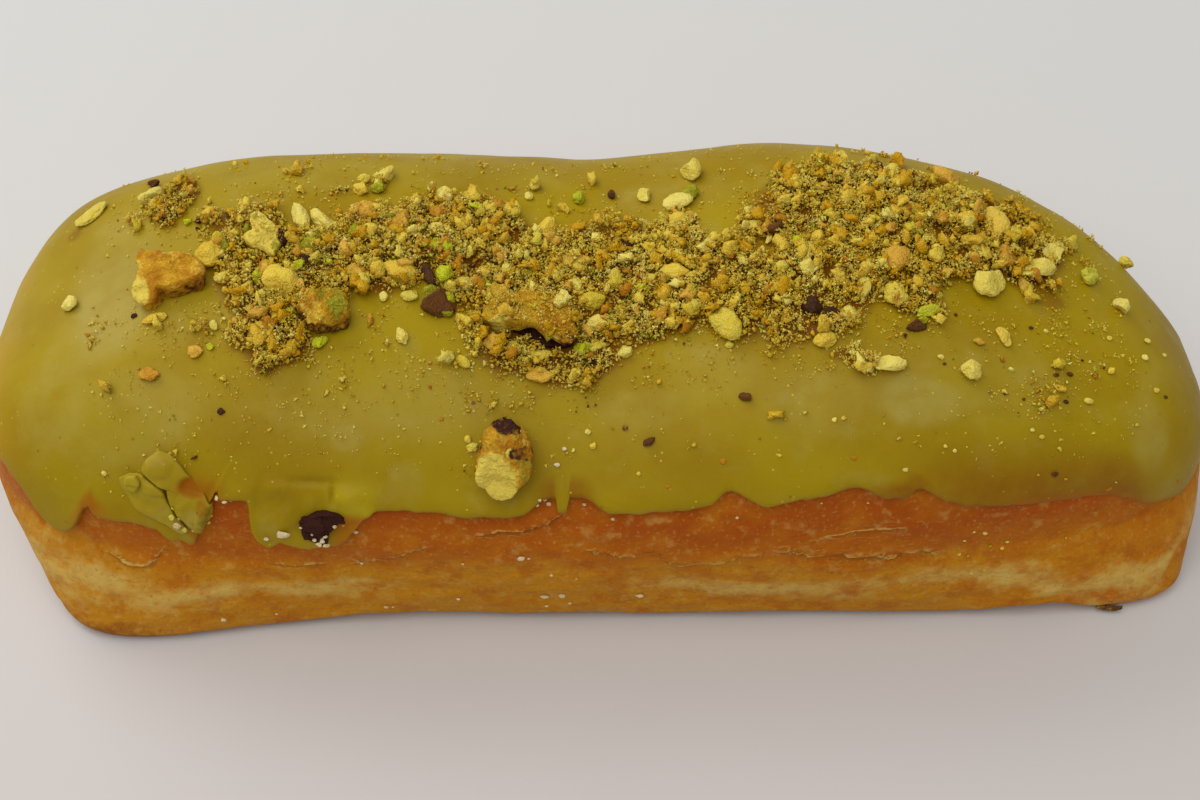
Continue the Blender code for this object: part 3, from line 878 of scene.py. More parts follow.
@dataclass(frozen=True)
class Icing:
    """The icing: a shell over the top half, with a rounded lip and a broken front edge.

    The lip's rows lie at the named distances from the edge. Crowding draws the outer rows together
    towards the top. The inside starts at a small share of the edge's level, and is sunk into the
    dough.
    """

    shape: BarShape
    columns: int = 700
    rows: int = 118
    thickness: float = 0.85
    gap: float = 0.2
    bead_rise: float = 0.35
    bead_width: float = 3.5
    edge_level: float = 0.767
    end_drop: float = 0.08
    end_drop_x: float = 72.0
    lip: tuple[float, ...] = (0.0, 0.08, 0.2, 0.4, 0.65, 0.95, 1.3, 1.7, 2.2, 2.8)
    inner_rows: int = 10
    raggedness: float = 0.22
    inner_from: float = 0.06
    crowding: float = 1.15
    sunk: float = 0.5
    swellings: tuple[Swelling, ...] = tuple(starmap(Swelling, (
        (-14.5, 0.76, 5.0, 0.05, 0.5), (-30.9, 0.722, 2.5, 0.032, 0.9), (-31.0, 0.825, 2.4, 0.04, -0.4),
        (-40.6, 0.82, 2.8, 0.055, 0.65), (-35.0, 0.83, 2.6, 0.05, -0.25),
        (-35.6, 0.678, 2.6, 0.010, -0.6), (-33.2, 0.715, 0.30, 0.03, -0.9), (-40.0, 0.70, 1.6, 0.02, 0.4),
        (-41.5, 0.73, 1.2, 0.05, 0.3), (-3.7, 0.68, 0.7, 0.04, 0.35), (33.0, 0.72, 9.0, 0.06, 0.35),
        (6.0, 0.72, 9.0, 0.05, 0.25), (-70.0, 0.85, 4.0, 0.08, 0.35),
    )))
    # Spots of painted sheen: where soft highlights of the gloss lie.
    sheen_spots: tuple[Spot, ...] = tuple(starmap(Spot, (
        (-63.5, -1.0, 6.0, 13.0, 0.75), (-66.0, -8.0, 4.5, 5.0, 0.35), (-70.0, -17.0, 5.0, 6.0, 0.5),
        (-59.0, -21.0, 10.0, 5.5, 0.5), (-55.0, -9.0, 12.0, 5.0, 0.25), (-31.0, -22.5, 6.0, 3.0, 0.4),
        (-21.0, -20.0, 9.0, 5.0, 0.3), (29.0, -22.0, 8.0, 4.5, 0.3), (41.5, -22.0, 5.5, 2.8, 0.85),
        (50.0, -18.0, 14.0, 6.0, 0.25), (73.0, -20.5, 3.2, 3.8, 0.7), (-31.3, -24.7, 2.2, 1.5, 0.6),
        (-23.8, -28.5, 2.4, 1.8, 0.55), (7.0, -21.5, 7.0, 2.5, 0.35), (11.0, 12.0, 9.0, 4.0, 0.3),
        (16.0, -18.0, 6.0, 4.0, 0.35), (-36.0, 17.0, 14.0, 5.0, 0.25),
    )))

    def edge(self, turn: Array) -> Array:
        """The level of the lower edge: even, lower at the ends, with drips and gaps at the front.

        Args:
            turn: Angles round the plan.

        Returns:
            A level for each angle.
        """
        middle = self.shape.point(turn, self.edge_level)
        x, y = middle[..., 0], middle[..., 1]
        per_level = self.shape.length_per_level(turn, self.edge_level)
        level = self.edge_level + self.end_drop * np.clip(np.abs(x) / self.end_drop_x, 0, 1) ** 4
        front = frontness(y)
        for drip in DRIPS:
            level += front * drip.drop / per_level * bump(x, drip.x, drip.half_width, drip.flatness)
        for drop, length, slant, start in BACK_WAVES:
            level += (1 - front) * drop / per_level * np.sin(x / length + y * slant + start)
        torn = Grain(3)(middle, 1.6, 2) * self.raggedness
        return level + torn / per_level

    def offset(self, point: Array, level: Array, distance: Array) -> Array:
        """How far the outside stands off the dough.

        A quarter round at the lip, a bead behind it, and the named swellings, each a bell along X
        times a bell over the level.

        Args:
            point: Points of the smooth bar.
            level: Their levels.
            distance: How far above the lower edge they are.

        Returns:
            Offsets in millimetres.
        """
        x = point[..., 0]
        front = frontness(point[..., 1])
        thin = front * smooth(x, 50, 62)
        lip = np.clip(distance / self.thickness, 0, 1)
        rounded = 0.35 + 0.65 * np.sqrt(1 - (1 - lip) ** 2)
        bead = self.bead_rise * np.exp(-((distance / self.bead_width) ** 2)) * (1 - thin)
        body = (self.thickness - 0.6 * thin * np.exp(-distance / 4) + bead) * rounded
        for swelling in self.swellings:
            along = bump(x, swelling.x, swelling.half_width)
            body += front * swelling.rise * along * bump(level, swelling.level, swelling.half_levels) * lip
        grain = Grain(8)
        ragged = front * bump(x, -44.5, 17, 6) * smooth(level, 0.67, 0.76) * lip
        body += 0.30 * ragged * grain(point, 1.9, 2)
        return self.gap + body + lip * (0.10 * grain(point, 8, 2) + 0.03 * grain(point, 2.5))

    def colours(self, point: Array, distance: Array, cover: Array) -> dict[str, Array]:
        """Where the icing has painted sheen, where it is thin, a bare film, bright green or brownish, and
        where crumbs give it oil and painted shade.

        Args:
            point: Points of the icing.
            distance: How far above the lower edge they are.
            cover: How thickly crumbs lie there, from 0 to 1.

        Returns:
            The numbers for the painted sheen, thin, film, the oil and painted shade under crumbs, lush and
            amber, for the finish.
        """
        x, y = point[..., 0], point[..., 1]
        # Painted sheen at its spots, for soft highlights of the gloss.
        painted_sheen = sum(spot.share(x, y) for spot in self.sheen_spots)
        wavy = Grain(21)(point, 7, 2)
        front = frontness(y)
        z = point[..., 2]
        right = front * smooth(x, 34, 52) * smooth(distance, 13, 3) * (1 + 0.3 * wavy)
        right = right * (1 - 0.85 * smooth(x, 71, 78))
        film = bump(x, -31.0, 2.7, 6) * smooth(z, 26.4, 25.4)
        film = film + 0.9 * bump(x, -65.8, 2.8) * smooth(distance, 4.2, 1.8)
        film = film + 0.9 * bump(x, -50.6, 1.7, 4) * smooth(z, 23.6, 22.2)
        film = film + 0.8 * bump(x, -49.6, 2.2) * bump(z, 28.4, 1.7)
        film = film + 0.7 * smooth(x, 50, 58) * smooth(x, 79, 74) * smooth(distance, 2.4, 0.2)
        weak = 0.85 * bump(x, -3.4, 3.6, 4) * smooth(distance, 3.6, 1.6) * (1 - bump(x, -3.8, 0.9, 6))
        weak = weak + 0.75 * bump(x, 39.6, 3.6, 4) * smooth(distance, 3.4, 1.4)
        lip = 0.3 * np.exp(-np.maximum(distance, 0) / 0.7)
        return {
            "painted_sheen": np.clip(painted_sheen * (1 + 0.5 * wavy), 0, 1),
            "thin": np.clip(0.85 * right + lip + front * weak, 0, 1),
            "film": np.clip(front * film, 0, 1),
            # Oil and painted shade under the crumbs, where they lie thickly.
            "oil_and_crumb_shade": smooth(cover, 0.25, 0.95),
            "lush": 0.8 * front * bump(x, -30.7, 2.9, 4) * bump(z, 27.6, 2.1, 4),
            "amber": np.clip(0.7 * smooth(x, -74, -82) + 0.2 * wavy * smooth(x, -66, -78), 0, 1),
        }

    def build(self, cover: "Cover") -> bpy.types.Object:
        """Makes the shell: down its inside, round the lip and up its outside.

        Args:
            cover: Where crumbs lie.

        Returns:
            The finished object.
        """
        turn = column_turns(self.columns)
        edge = self.edge(turn)
        per_level = self.shape.length_per_level(turn, edge)
        inner = np.linspace(self.inner_from, 1.0, self.inner_rows)[:, None] * edge
        lip = edge - np.array(self.lip)[:, None] / per_level
        shares = np.linspace(1, 0, self.rows - len(self.lip) - self.inner_rows + 1)[1:-1]
        outer = shares[:, None] ** self.crowding * lip[-1]
        level = np.concatenate([inner, lip, outer])
        turn = np.broadcast_to(turn, level.shape)
        distance = (edge - level) * per_level
        point = self.shape.point(turn, level)
        outside = np.arange(len(level))[:, None] >= self.inner_rows
        offset = np.where(outside, self.offset(point, level, distance), self.gap - self.sunk)
        rings = self.shape.skin(turn, level, offset)
        values = self.colours(rings, distance, cover.share(rings[..., 0], rings[..., 1]))
        tops = (self.shape.pole(0, self.gap - self.sunk), self.shape.pole(0, self.gap + self.thickness))
        painted = {key: with_poles(np.array(0.0), value, value[-1, 0]) for key, value in values.items()}
        obj = put_mesh("green_icing", with_poles(tops[0], rings, tops[1]), wrap(*level.shape), painted)
        obj.data.materials.append(IcingFinish().material())
        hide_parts("icing")
        return obj


# ---------------------------------------------------------------- where things lie


class Ground:
    """The outside of finished pieces, for finding where something dropped or pressed on comes to lie."""

    # How high above the floor, or how far in front of the bar, the rays start.
    away = 90.0

    def __init__(self, *pieces: bpy.types.Object) -> None:
        """Reads the pieces' meshes.

        Args:
            pieces: The pieces that things lie on.
        """
        self.trees = []
        for piece in pieces:
            points = [vertex.co for vertex in piece.data.vertices]
            self.trees.append(BVHTree.FromPolygons(points, [tuple(f.vertices) for f in piece.data.polygons]))
        # Which piece each ray of the last call met first.
        self.piece = np.zeros(0, int)

    def hit(self, start: Array, direction: tuple[float, float, float]) -> tuple[Array, Array]:
        """Sends a ray from each start, and gives where it first meets a piece.

        Args:
            start: Points in the bar's own coordinates.
            direction: Which way the rays go.

        Returns:
            The points met and the surface's normals there. A ray that meets nothing gives nan.
        """
        points, normals = np.full(start.shape, np.nan), np.full(start.shape, np.nan)
        way = Vector(direction)
        self.piece = np.zeros(len(start), int)
        for index, origin in enumerate(place(start).tolist()):
            found = [(*tree.ray_cast(Vector(origin), way), piece) for piece, tree in enumerate(self.trees)]
            found = [hit for hit in found if hit[0] is not None]
            if found:
                nearest = min(found, key=lambda hit: hit[3])
                points[index], normals[index], self.piece[index] = nearest[0], nearest[1], nearest[4]
        return points / MM + np.array([*BAR_MIDDLE, 0.0]), normals

    def below(self, x: Array, y: Array) -> tuple[Array, Array]:
        """Where things dropped at (x, y) land."""
        return self.hit(np.stack([x, y, np.full_like(x, self.away)], axis=-1), (0, 0, -1))

    def facing(self, x: Array, z: Array) -> tuple[Array, Array]:
        """Where things pressed on from the front at (x, z) touch."""
        return self.hit(np.stack([x, np.full_like(x, -self.away), z], axis=-1), (0, 1, 0))


class Cover:
    """Where crumbs lie: soft patches with ragged edges."""

    patches = tuple(starmap(Spot, (
        (-56.3, 13.0, 3.6, 6.0, 0.95), (-55.0, 6.5, 4.0, 2.5, 0.35), (-45.5, 5.5, 6.0, 4.0, 0.85),
        (-41.0, -2.5, 11.0, 7.0), (-41.0, -12.0, 6.6, 4.6), (-27.5, 1.0, 7.0, 8.5),
        (-16.0, 5.0, 9.0, 9.5), (-8.0, -4.0, 12.0, 7.0), (-6.0, -14.0, 10.5, 5.2), (3.0, -0.5, 11.0, 8.2),
        (14.0, -5.5, 9.5, 7.5), (4.5, -10.0, 6.5, 3.2, 0.9), (-8.0, 5.0, 4.5, 4.0, 0.8),
        (13.0, 5.0, 3.0, 3.5, 0.8), (27.0, -8.5, 10.0, 7.5), (38.0, 4.0, 17.5, 13.5),
        (56.0, 4.5, 9.5, 8.5, 0.95), (43.0, -10.0, 4.5, 3.2, 0.9), (33.5, -17.8, 4.0, 1.6, 0.7),
        (60.0, -4.5, 4.0, 2.5, 0.6), (-29.5, 14.0, 2.6, 2.6, 0.55), (-70.0, 10.8, 1.8, 1.6, 0.6),
        (-51.0, -12.6, 2.4, 3.2, 0.45),
    )))

    def __init__(self) -> None:
        """Sets up the raggedness of the edges."""
        self.grain = Grain(42)

    def share(self, x: Array, y: Array) -> Array:
        """How thickly crumbs lie at each place: one minus the product of each patch's bare share.

        Args:
            x: Places along X.
            y: Places along Y.

        Returns:
            Numbers from 0, bare, to 1, covered.
        """
        flat = np.stack([x, y, np.zeros_like(x)], axis=-1)
        wander_x = x + 1.6 * self.grain(flat, 5, 2)
        wander_y = y + 1.6 * self.grain(flat + 31.7, 5, 2)
        bare = np.ones_like(x)
        for patch in self.patches:
            bare = bare * (1 - np.clip(patch.share(wander_x, wander_y), 0, 1))
        return 1 - bare


class Pile:
    """How high crumbs already lie on the icing, on a grid over the plan."""

    cell = 0.25
    half = (90.0, 36.0)

    def __init__(self) -> None:
        """Starts with nothing on the icing."""
        shape = [int(2 * side / self.cell) for side in self.half]
        self.height = np.zeros(shape)

    def index(self, x: Array, y: Array) -> tuple[Array, Array]:
        """The cells that places fall in."""
        column = np.clip(((x + self.half[0]) / self.cell).astype(int), 0, self.height.shape[0] - 1)
        row = np.clip(((y + self.half[1]) / self.cell).astype(int), 0, self.height.shape[1] - 1)
        return column, row

    def drop(self, x: Array, y: Array, radius: Array) -> Array:
        """Lets crumbs fall, and gives the height that each comes to rest at.

        A crumb settles between the mean and the highest of seven cells under it. The cells under it
        then rise to a rounded top.

        Args:
            x: Places along X.
            y: Places along Y.
            radius: Half of each crumb's height.

        Returns:
            The height of each crumb's underside over the icing.
        """
        angles = np.arange(6) * math.pi / 3
        spots_x = np.concatenate([[0], 0.6 * np.cos(angles)])
        spots_y = np.concatenate([[0], 0.6 * np.sin(angles)])
        cells = [self.index(x + radius * a, y + radius * b) for a, b in zip(spots_x, spots_y)]
        under = np.stack([self.height[cell] for cell in cells])
        rest = 0.4 * under.max(axis=0) + 0.6 * under.mean(axis=0)
        for share in (0.0, 0.35, 0.7):
            for angle in angles if share else angles[:1]:
                top = rest + radius * (0.8 + 0.8 * math.sqrt(1 - share**2))
                aside, ahead = share * math.cos(angle), share * math.sin(angle)
                cells = self.index(x + radius * aside, y + radius * ahead)
                np.maximum.at(self.height, cells, top)
        return rest


# ---------------------------------------------------------------- pieces of nut


def ball(subdivisions: int) -> tuple[Array, Array]:
    """The corners and triangles of a round ball of radius 1."""
    work = bmesh.new()
    bmesh.ops.create_icosphere(work, subdivisions=subdivisions, radius=1)
    corners = np.array([vertex.co[:] for vertex in work.verts])
    faces = np.array([[vertex.index for vertex in face.verts] for face in work.faces])
    work.free()
    return corners, faces


def chip() -> tuple[Array, Array]:
    """The corners and triangles of an octahedron, from which dust is broken."""
    corners = np.array([[1, 0, 0], [0, 1, 0], [-1, 0, 0], [0, -1, 0], [0, 0, 1], [0, 0, -1]], float)
    around = [(side, (side + 1) % 4) for side in range(4)]
    faces = [(a, b, 4) for a, b in around] + [(b, a, 5) for a, b in around]
    return corners, np.array(faces)


def flake() -> tuple[Array, Array]:
    """The corners and triangles of a tetrahedron, from which the finest dust is broken."""
    corners = np.array([[1, 1, 1], [1, -1, -1], [-1, 1, -1], [-1, -1, 1]]) * 0.75
    return corners, np.array([[0, 1, 2], [0, 3, 1], [0, 2, 3], [1, 3, 2]])


def broken(corners: Array, rng: np.random.Generator, cuts: int, roughness: float) -> Array:
    """Makes a ball look broken: points past a few random planes move back onto them.

    Args:
        corners: Points of a ball of radius 1.
        rng: Source of the draw.
        cuts: How many planes.
        roughness: How far the points are then moved in and out, as a share of the radius.

    Returns:
        The moved points.
    """
    planes = rng.normal(size=(cuts, 3))
    planes /= np.linalg.norm(planes, axis=1, keepdims=True)
    point = corners.copy()
    for plane, depth in zip(planes, rng.uniform(0.45, 0.8, cuts)):
        past = np.maximum(point @ plane - depth, 0)
        point -= past[:, None] * plane
    grain = Grain(int(rng.integers(1 << 30)))
    jitter = 1.0 if len(point) < 50 else 0.15
    swell = roughness * (grain(point, 0.8, 3) + jitter * rng.uniform(-1, 1, len(point)))
    return point * (1 + swell)[:, None]


def turned(count: int, rng: np.random.Generator) -> Array:
    """Random turns as matrices, each from a unit quaternion.

    Args:
        count: How many.
        rng: Source of the draw.

    Returns:
        An array of 3 by 3 matrices.
    """
    w, x, y, z = rng.normal(size=(4, count))
    size = np.sqrt(w * w + x * x + y * y + z * z)
    w, x, y, z = w / size, x / size, y / size, z / size
    rows = [
        [1 - 2 * (y * y + z * z), 2 * (x * y - z * w), 2 * (x * z + y * w)],
        [2 * (x * y + z * w), 1 - 2 * (x * x + z * z), 2 * (y * z - x * w)],
        [2 * (x * z - y * w), 2 * (y * z + x * w), 1 - 2 * (x * x + y * y)],
    ]
    return np.moveaxis(np.array(rows), 2, 0)


class View(Enum):
    """Where a piece's outline is drawn from: from above, in x and y, or from the front, in x and z."""

    ABOVE = 1
    FRONT = 2


@dataclass(frozen=True)
class Tint:
    """A painted number of a slab: its value all over, on the sides, and the spots that add to it."""

    name: str
    base: float = 0.0
    sides: float = 0.0
    spots: tuple[Spot, ...] = ()


@dataclass(frozen=True)
class Slab:
    """A broken piece with an outline of its own, a top, walls and an underside.

    Every ring of points has a share of the outline and a share of the way from the underside to the
    top. The walls lean out, and the top's rim is rounded. Rises change the top's height and hollows
    the underside's, which lies as deep in the ground as sink says. A slab that bends follows the
    ground, and any other lies on the plane that touches it. Dusting is how readily crumbs stick.
    """

    name: str
    view: View
    outline: tuple[tuple[float, float], ...]
    height: float
    tints: tuple[Tint, ...] = ()
    rises: tuple[Spot, ...] = ()
    hollows: tuple[Spot, ...] = ()
    tilt: tuple[float, float] = (0.0, 0.0)
    undercut: float = 0.12
    rim: float = 0.1
    sink: float = 0.5
    roughness: float = 0.22
    grain: float = 1.5
    smoothing: int = 2
    bends: bool = False
    dusting: float = 0.3
    columns: int = 168
    thinnest: float = 0.2
    wall_rows: int = 12
    rim_rows: int = 5
    top_rows: int = 24

    def rings(self) -> tuple[Array, Array]:
        """The share of the outline and of the height that each ring has.

        Returns:
            Two columns, from the underside over the walls and the rim to the top's middle.
        """
        walls = np.linspace(0, 1, self.wall_rows)
        around = np.linspace(0, math.pi / 2, self.rim_rows + 1)[1:]
        inwards = np.linspace(1 - self.rim, 0, self.top_rows + 1)[1:-1]
        low = 1 - self.undercut
        outline = [low * np.array([0.4, 0.8]), low + self.undercut * walls]
        outline += [1 - self.rim * (1 - np.cos(around)), inwards]
        height = [np.zeros(2), 0.8 * walls, 0.8 + 0.2 * np.sin(around), np.ones_like(inwards)]
        return np.concatenate(outline)[:, None], np.concatenate(height)[:, None]

    def rounded_outline(self) -> Array:
        """The outline with as many points as there are columns, and its corners slightly rounded."""
        corners = np.array([*self.outline, self.outline[0]])
        length = np.concatenate([[0], np.cumsum(np.linalg.norm(np.diff(corners, axis=0), axis=1))])
        along = np.arange(self.columns) / self.columns * length[-1]
        line = np.stack([np.interp(along, length, corners[:, axis]) for axis in (0, 1)], axis=-1)
        for _ in range(self.smoothing):
            line = 0.5 * line + 0.25 * (np.roll(line, 1, axis=0) + np.roll(line, -1, axis=0))
        return line

    def build(self, ground: Ground, material: bpy.types.Material) -> bpy.types.Object:
        """Makes the piece where it lies.

        Args:
            ground: What it lies on.
            material: Its finish.

        Returns:
            The finished object.
        """
        line = self.rounded_outline()
        middle = line.mean(axis=0)
        share, rise = self.rings()
        flat = middle + (line - middle) * share[..., None]
        rise = np.broadcast_to(rise, flat.shape[:2])
        flat = with_poles(middle, flat, middle)
        rise = with_poles(np.array(0.0), rise, np.array(1.0))
        top = self.height + (flat - middle) @ np.array(self.tilt)
        top = top + sum(spot.share(flat[:, 0], flat[:, 1]) for spot in self.rises)
        bottom = -self.sink + sum(spot.share(flat[:, 0], flat[:, 1]) for spot in self.hollows)
        height = bottom + (np.maximum(top, bottom + self.thinnest) - bottom) * rise
        point = self.on_ground(ground, flat, middle, height)
        # Name and outline give each slab an unevenness of its own.
        grain = Grain(len(self.name) * 31 + len(self.outline))
        for axis in range(3):
            point[:, axis] += self.roughness * grain(point + 9.1 * axis, self.grain, 3)
        painted = {}
        for tint in self.tints:
            spots = sum(spot.share(flat[:, 0], flat[:, 1]) for spot in tint.spots)
            painted[tint.name] = np.clip(tint.base + tint.sides * smooth(rise, 0.95, 0.6) + spots, 0, 1)
        obj = put_mesh(self.name, point, wrap(len(share), self.columns), painted)
        obj.data.materials.append(material)
        log.info("%s: %d faces", obj.name, len(obj.data.polygons))
        return obj

    def on_ground(self, ground: Ground, flat: Array, middle: Array, height: Array) -> Array:
        """Puts drawn points on the ground, or on the plane that touches it under the middle.

        Args:
            ground: What the piece lies on.
            flat: Points as drawn.
            middle: The outline's middle.
            height: How far each point stands off the ground.

        Returns:
            The points, with three coordinates.
        """
        find = ground.below if self.view is View.ABOVE else ground.facing
        hit, normal = find(middle[:1], middle[1:])
        if self.bends:
            base, normals = find(flat[:, 0], flat[:, 1])
            lost = np.isnan(base[:, 0])
            base[lost], normals[lost] = hit[0], normal[0]
            normals = normals + 2 * normal
            return base + normals / np.linalg.norm(normals, axis=1, keepdims=True) * height[:, None]
        drawn = (0, 1) if self.view is View.ABOVE else (0, 2)
        depth = 2 if self.view is View.ABOVE else 1
        base = np.zeros((len(flat), 3))
        base[:, drawn] = flat
        base[:, depth] = hit[0, depth] - (flat - hit[0, drawn]) @ normal[0, drawn] / normal[0, depth]
        return base + normal * height[:, None]


@dataclass(frozen=True)
class KernelFinish:
    """A large piece of pistachio: toasted flesh, with pale broken faces, green flesh and dark skin."""

    flesh: Colour = (0.62, 0.33, 0.015)
    toasted: Colour = (0.42, 0.17, 0.006)
    pale: Colour = (0.76, 0.59, 0.09)
    green: Colour = (0.30, 0.27, 0.012)
    skin: Colour = (0.048, 0.013, 0.008)
    crumb: Colour = (0.78, 0.56, 0.06)

    def material(self) -> bpy.types.Material:
        """The material, which reads the painted numbers pale, green and skin."""
        g = Graph("pistachio kernel")
        blotch = g.noise(2.6, 4)
        crumbly = g.noise(0.8, 4)
        dust = g.noise(0.4, 3)
        # Small grains, darker between them as painted shade in the gaps.
        grains_with_gap_shade = 1 - g.cells(0.4).step(0.1, 0.75)
        colour = g.mix(blotch.step(0.3, 0.65) + 0.4 * (grains_with_gap_shade - 0.6), self.toasted, self.flesh)
        colour = g.mix((g.painted("pale") + 1.1 * (crumbly - 0.5)).step(0.25, 0.75), colour, self.pale)
        colour = g.mix((g.painted("green") + 0.9 * (crumbly - 0.5)).step(0.35, 0.75), colour, self.green)
        colour = g.mix((g.painted("skin") + 0.9 * (crumbly - 0.5)).step(0.35, 0.7), colour, self.skin)
        bare = 1 - g.painted("skin")
        colour = g.mix(0.7 * dust.step(0.54, 0.66) * blotch.step(0.4, 0.6) * bare, colour, self.crumb)
        g.relief(crumbly + 0.5 * dust + 0.25 * grains_with_gap_shade, 0.36)
        return g.finish(Base_Color=colour, Roughness=0.6 + 0.3 * crumbly, Specular_IOR_Level=0.12,
                        Subsurface_Weight=0.1, Subsurface_Radius=(1.0, 0.6, 0.2), Subsurface_Scale=0.0008)


NUTS = (
    Slab(
        "nut_chunk_left",
        View.ABOVE,
        (
            (-59.3, 1.9), (-57.5, 1.3), (-55.7, 0.6), (-54.1, 0.3), (-52.5, 0.0), (-51.3, -0.8),
            (-50.1, -2.3), (-49.8, -3.8), (-50.3, -4.8), (-51.7, -5.1), (-52.9, -5.5), (-54.4, -5.8),
            (-55.9, -5.5), (-56.3, -6.7), (-57.4, -7.6), (-58.5, -7.3), (-59.4, -6.1), (-59.7, -4.5),
            (-59.1, -3.1), (-59.0, -1.5), (-59.5, 0.2),
        ),
        3.0,
        tints=(
            Tint("pale", 0.08, -0.3, (Spot(-58.7, -6.0, 1.7, 2.4, 0.75), Spot(-50.7, -2.9, 1.5, 2.4, 0.3),
                                      Spot(-59.1, -2.0, 0.8, 2.5, 0.3), Spot(-54.1, -0.2, 3.0, 0.8, 0.3))),
            Tint("green"),
            Tint("skin", 0.0, 0.52, (Spot(-57.7, -7.5, 2.6, 1.8, -0.6),)),
        ),
        rises=(
            Spot(-58.5, -6.8, 2.0, 1.6, -0.7), Spot(-51.7, -2.3, 2.6, 2.0, -0.35),
            Spot(-55.2, -2.3, 1.0, 0.8, 0.25),
        ),
        undercut=0.16,
    ),
    Slab(
        "nut_chunk_pale",
        View.ABOVE,
        (
            (-45.1, 5.9), (-43.9, 6.4), (-42.9, 5.1), (-41.6, 3.9), (-40.2, 3.7), (-39.5, 2.6), (-40.0, 1.2),
            (-40.6, 0.1), (-41.4, -1.0), (-42.2, -0.7), (-42.7, 0.1), (-44.2, 0.5), (-45.3, 1.1),
            (-45.7, 2.2), (-44.5, 3.0), (-45.0, 4.5),
        ),
        2.8,
        tints=(
            Tint("pale", 1.0, -0.7),
            Tint("green", 0.0, 0.0, (Spot(-40.9, 0.2, 1.0, 1.6, 0.7),)),
            Tint("skin", 0.0, 0.55, (Spot(-40.2, 2.2, 1.1, 2.0, 0.85),)),
        ),
        rises=(Spot(-43.7, 3.6, 2.2, 2.6, 0.6),),
        undercut=0.2,
    ),
    Slab(
        "nut_chunk_round",
        View.ABOVE,
        (
            (-37.8, -9.6), (-37.1, -8.0), (-35.8, -7.2), (-34.3, -7.0), (-32.8, -7.1), (-31.6, -7.8),
            (-31.0, -9.2), (-31.2, -10.6), (-32.0, -11.6), (-33.5, -12.1), (-35.1, -12.2), (-36.6, -11.6),
        ),
        3.4,
        tints=(
            Tint("pale", 0.14, -0.2, (Spot(-36.0, -11.0, 2.0, 1.8, 0.3), Spot(-33.4, -8.6, 2.6, 1.2, 0.2))),
            Tint("green", 0.45, 0.0, (Spot(-33.6, -8.0, 3.2, 1.8, 0.1), Spot(-32.7, -9.8, 1.0, 1.7, 0.7),
                                      Spot(-36.4, -10.4, 1.8, 2.0, -0.3))),
            Tint("skin", 0.05, 0.5),
        ),
        rises=(Spot(-34.4, -9.0, 3.4, 2.8, 0.5),),
        dusting=0.8,
        undercut=0.1,
        rim=0.35,
        roughness=0.42,
        grain=0.9,
    ),
    Slab(
        "nut_half_middle",
        View.ABOVE,
        (
            (-14.3, -9.6), (-14.0, -8.3), (-12.6, -7.3), (-10.9, -6.7), (-8.8, -6.1), (-6.9, -6.0),
            (-5.4, -6.3), (-4.0, -6.8), (-2.8, -7.7), (-2.3, -9.3), (-2.1, -11.4), (-2.0, -12.9),
            (-2.4, -13.9), (-3.4, -14.3), (-4.1, -13.5), (-4.9, -13.1), (-5.8, -13.7), (-6.4, -12.4),
            (-7.1, -11.7), (-8.3, -11.4), (-9.6, -11.6), (-10.8, -11.5), (-12.1, -11.2), (-13.2, -10.6),
        ),
        3.1,
        tints=(
            Tint("pale", 0.12, 0.0, (Spot(-12.3, -11.0, 2.2, 0.5, 0.8), Spot(-5.1, -13.6, 1.2, 0.7, 0.6),
                                     Spot(-5.1, -8.2, 2.0, 1.6, 0.2))),
            Tint("green", 0.48, 0.0, (Spot(-5.4, -13.6, 1.0, 0.6, 0.5), Spot(-3.6, -10.0, 2.0, 3.4, -0.6))),
            Tint("skin", 0.2, 0.1, (Spot(-10.6, -9.1, 2.4, 1.0, 0.3), Spot(-3.1, -13.3, 1.4, 1.2, 0.35))),
        ),
        rises=(Spot(-8.6, -9.9, 6.5, 3.0, 0.7), Spot(-13.9, -9.7, 1.8, 1.8, -0.8)),
        hollows=(Spot(-7.1, -13.3, 5.4, 3.4, 2.6),),
        tilt=(0.0, -0.03),
        dusting=1.0,
        undercut=0.06,
        rim=0.2,
        sink=0.4,
    ),
    Slab(
        "nut_front",
        View.ABOVE,
        (
            (-12.6, -22.7), (-11.3, -22.2), (-10.1, -22.6), (-8.6, -23.3), (-7.7, -24.7), (-7.4, -26.2),
            (-7.7, -27.6), (-8.7, -28.3), (-9.6, -28.9), (-10.1, -29.7), (-11.0, -30.0), (-12.0, -30.1),
            (-13.0, -29.7), (-13.8, -28.9), (-14.7, -28.3), (-14.9, -27.3), (-14.6, -26.0), (-14.0, -24.8),
            (-13.6, -23.6),
        ),
        3.6,
        tints=(
            Tint("pale", 0.3, -0.2, (Spot(-12.6, -27.9, 2.6, 2.4, 0.65), Spot(-11.2, -29.2, 1.8, 1.2, 0.4),
                                     Spot(-10.4, -25.2, 0.7, 0.5, 0.7), Spot(-12.3, -25.9, 0.8, 0.6, 0.5))),
            Tint("green", 0.0, 0.15, (Spot(-8.4, -27.2, 1.3, 2.0, 0.5), Spot(-13.8, -23.8, 0.8, 0.8, 0.5))),
            Tint("skin", 0.09, 0.35, (Spot(-10.8, -22.9, 2.2, 0.8, 0.55), Spot(-9.2, -25.4, 1.6, 0.8, 0.45),
                                      Spot(-13.8, -25.4, 0.5, 1.4, 0.3),
                                      Spot(-11.2, -24.4, 2.2, 1.2, 0.22))),
        ),
        rises=(Spot(-11.4, -25.0, 2.8, 2.0, 0.5), Spot(-12.2, -29.0, 2.4, 1.4, -0.9)),
        undercut=0.08,
        rim=0.3,
        roughness=0.34,
        grain=1.2,
    ),
)

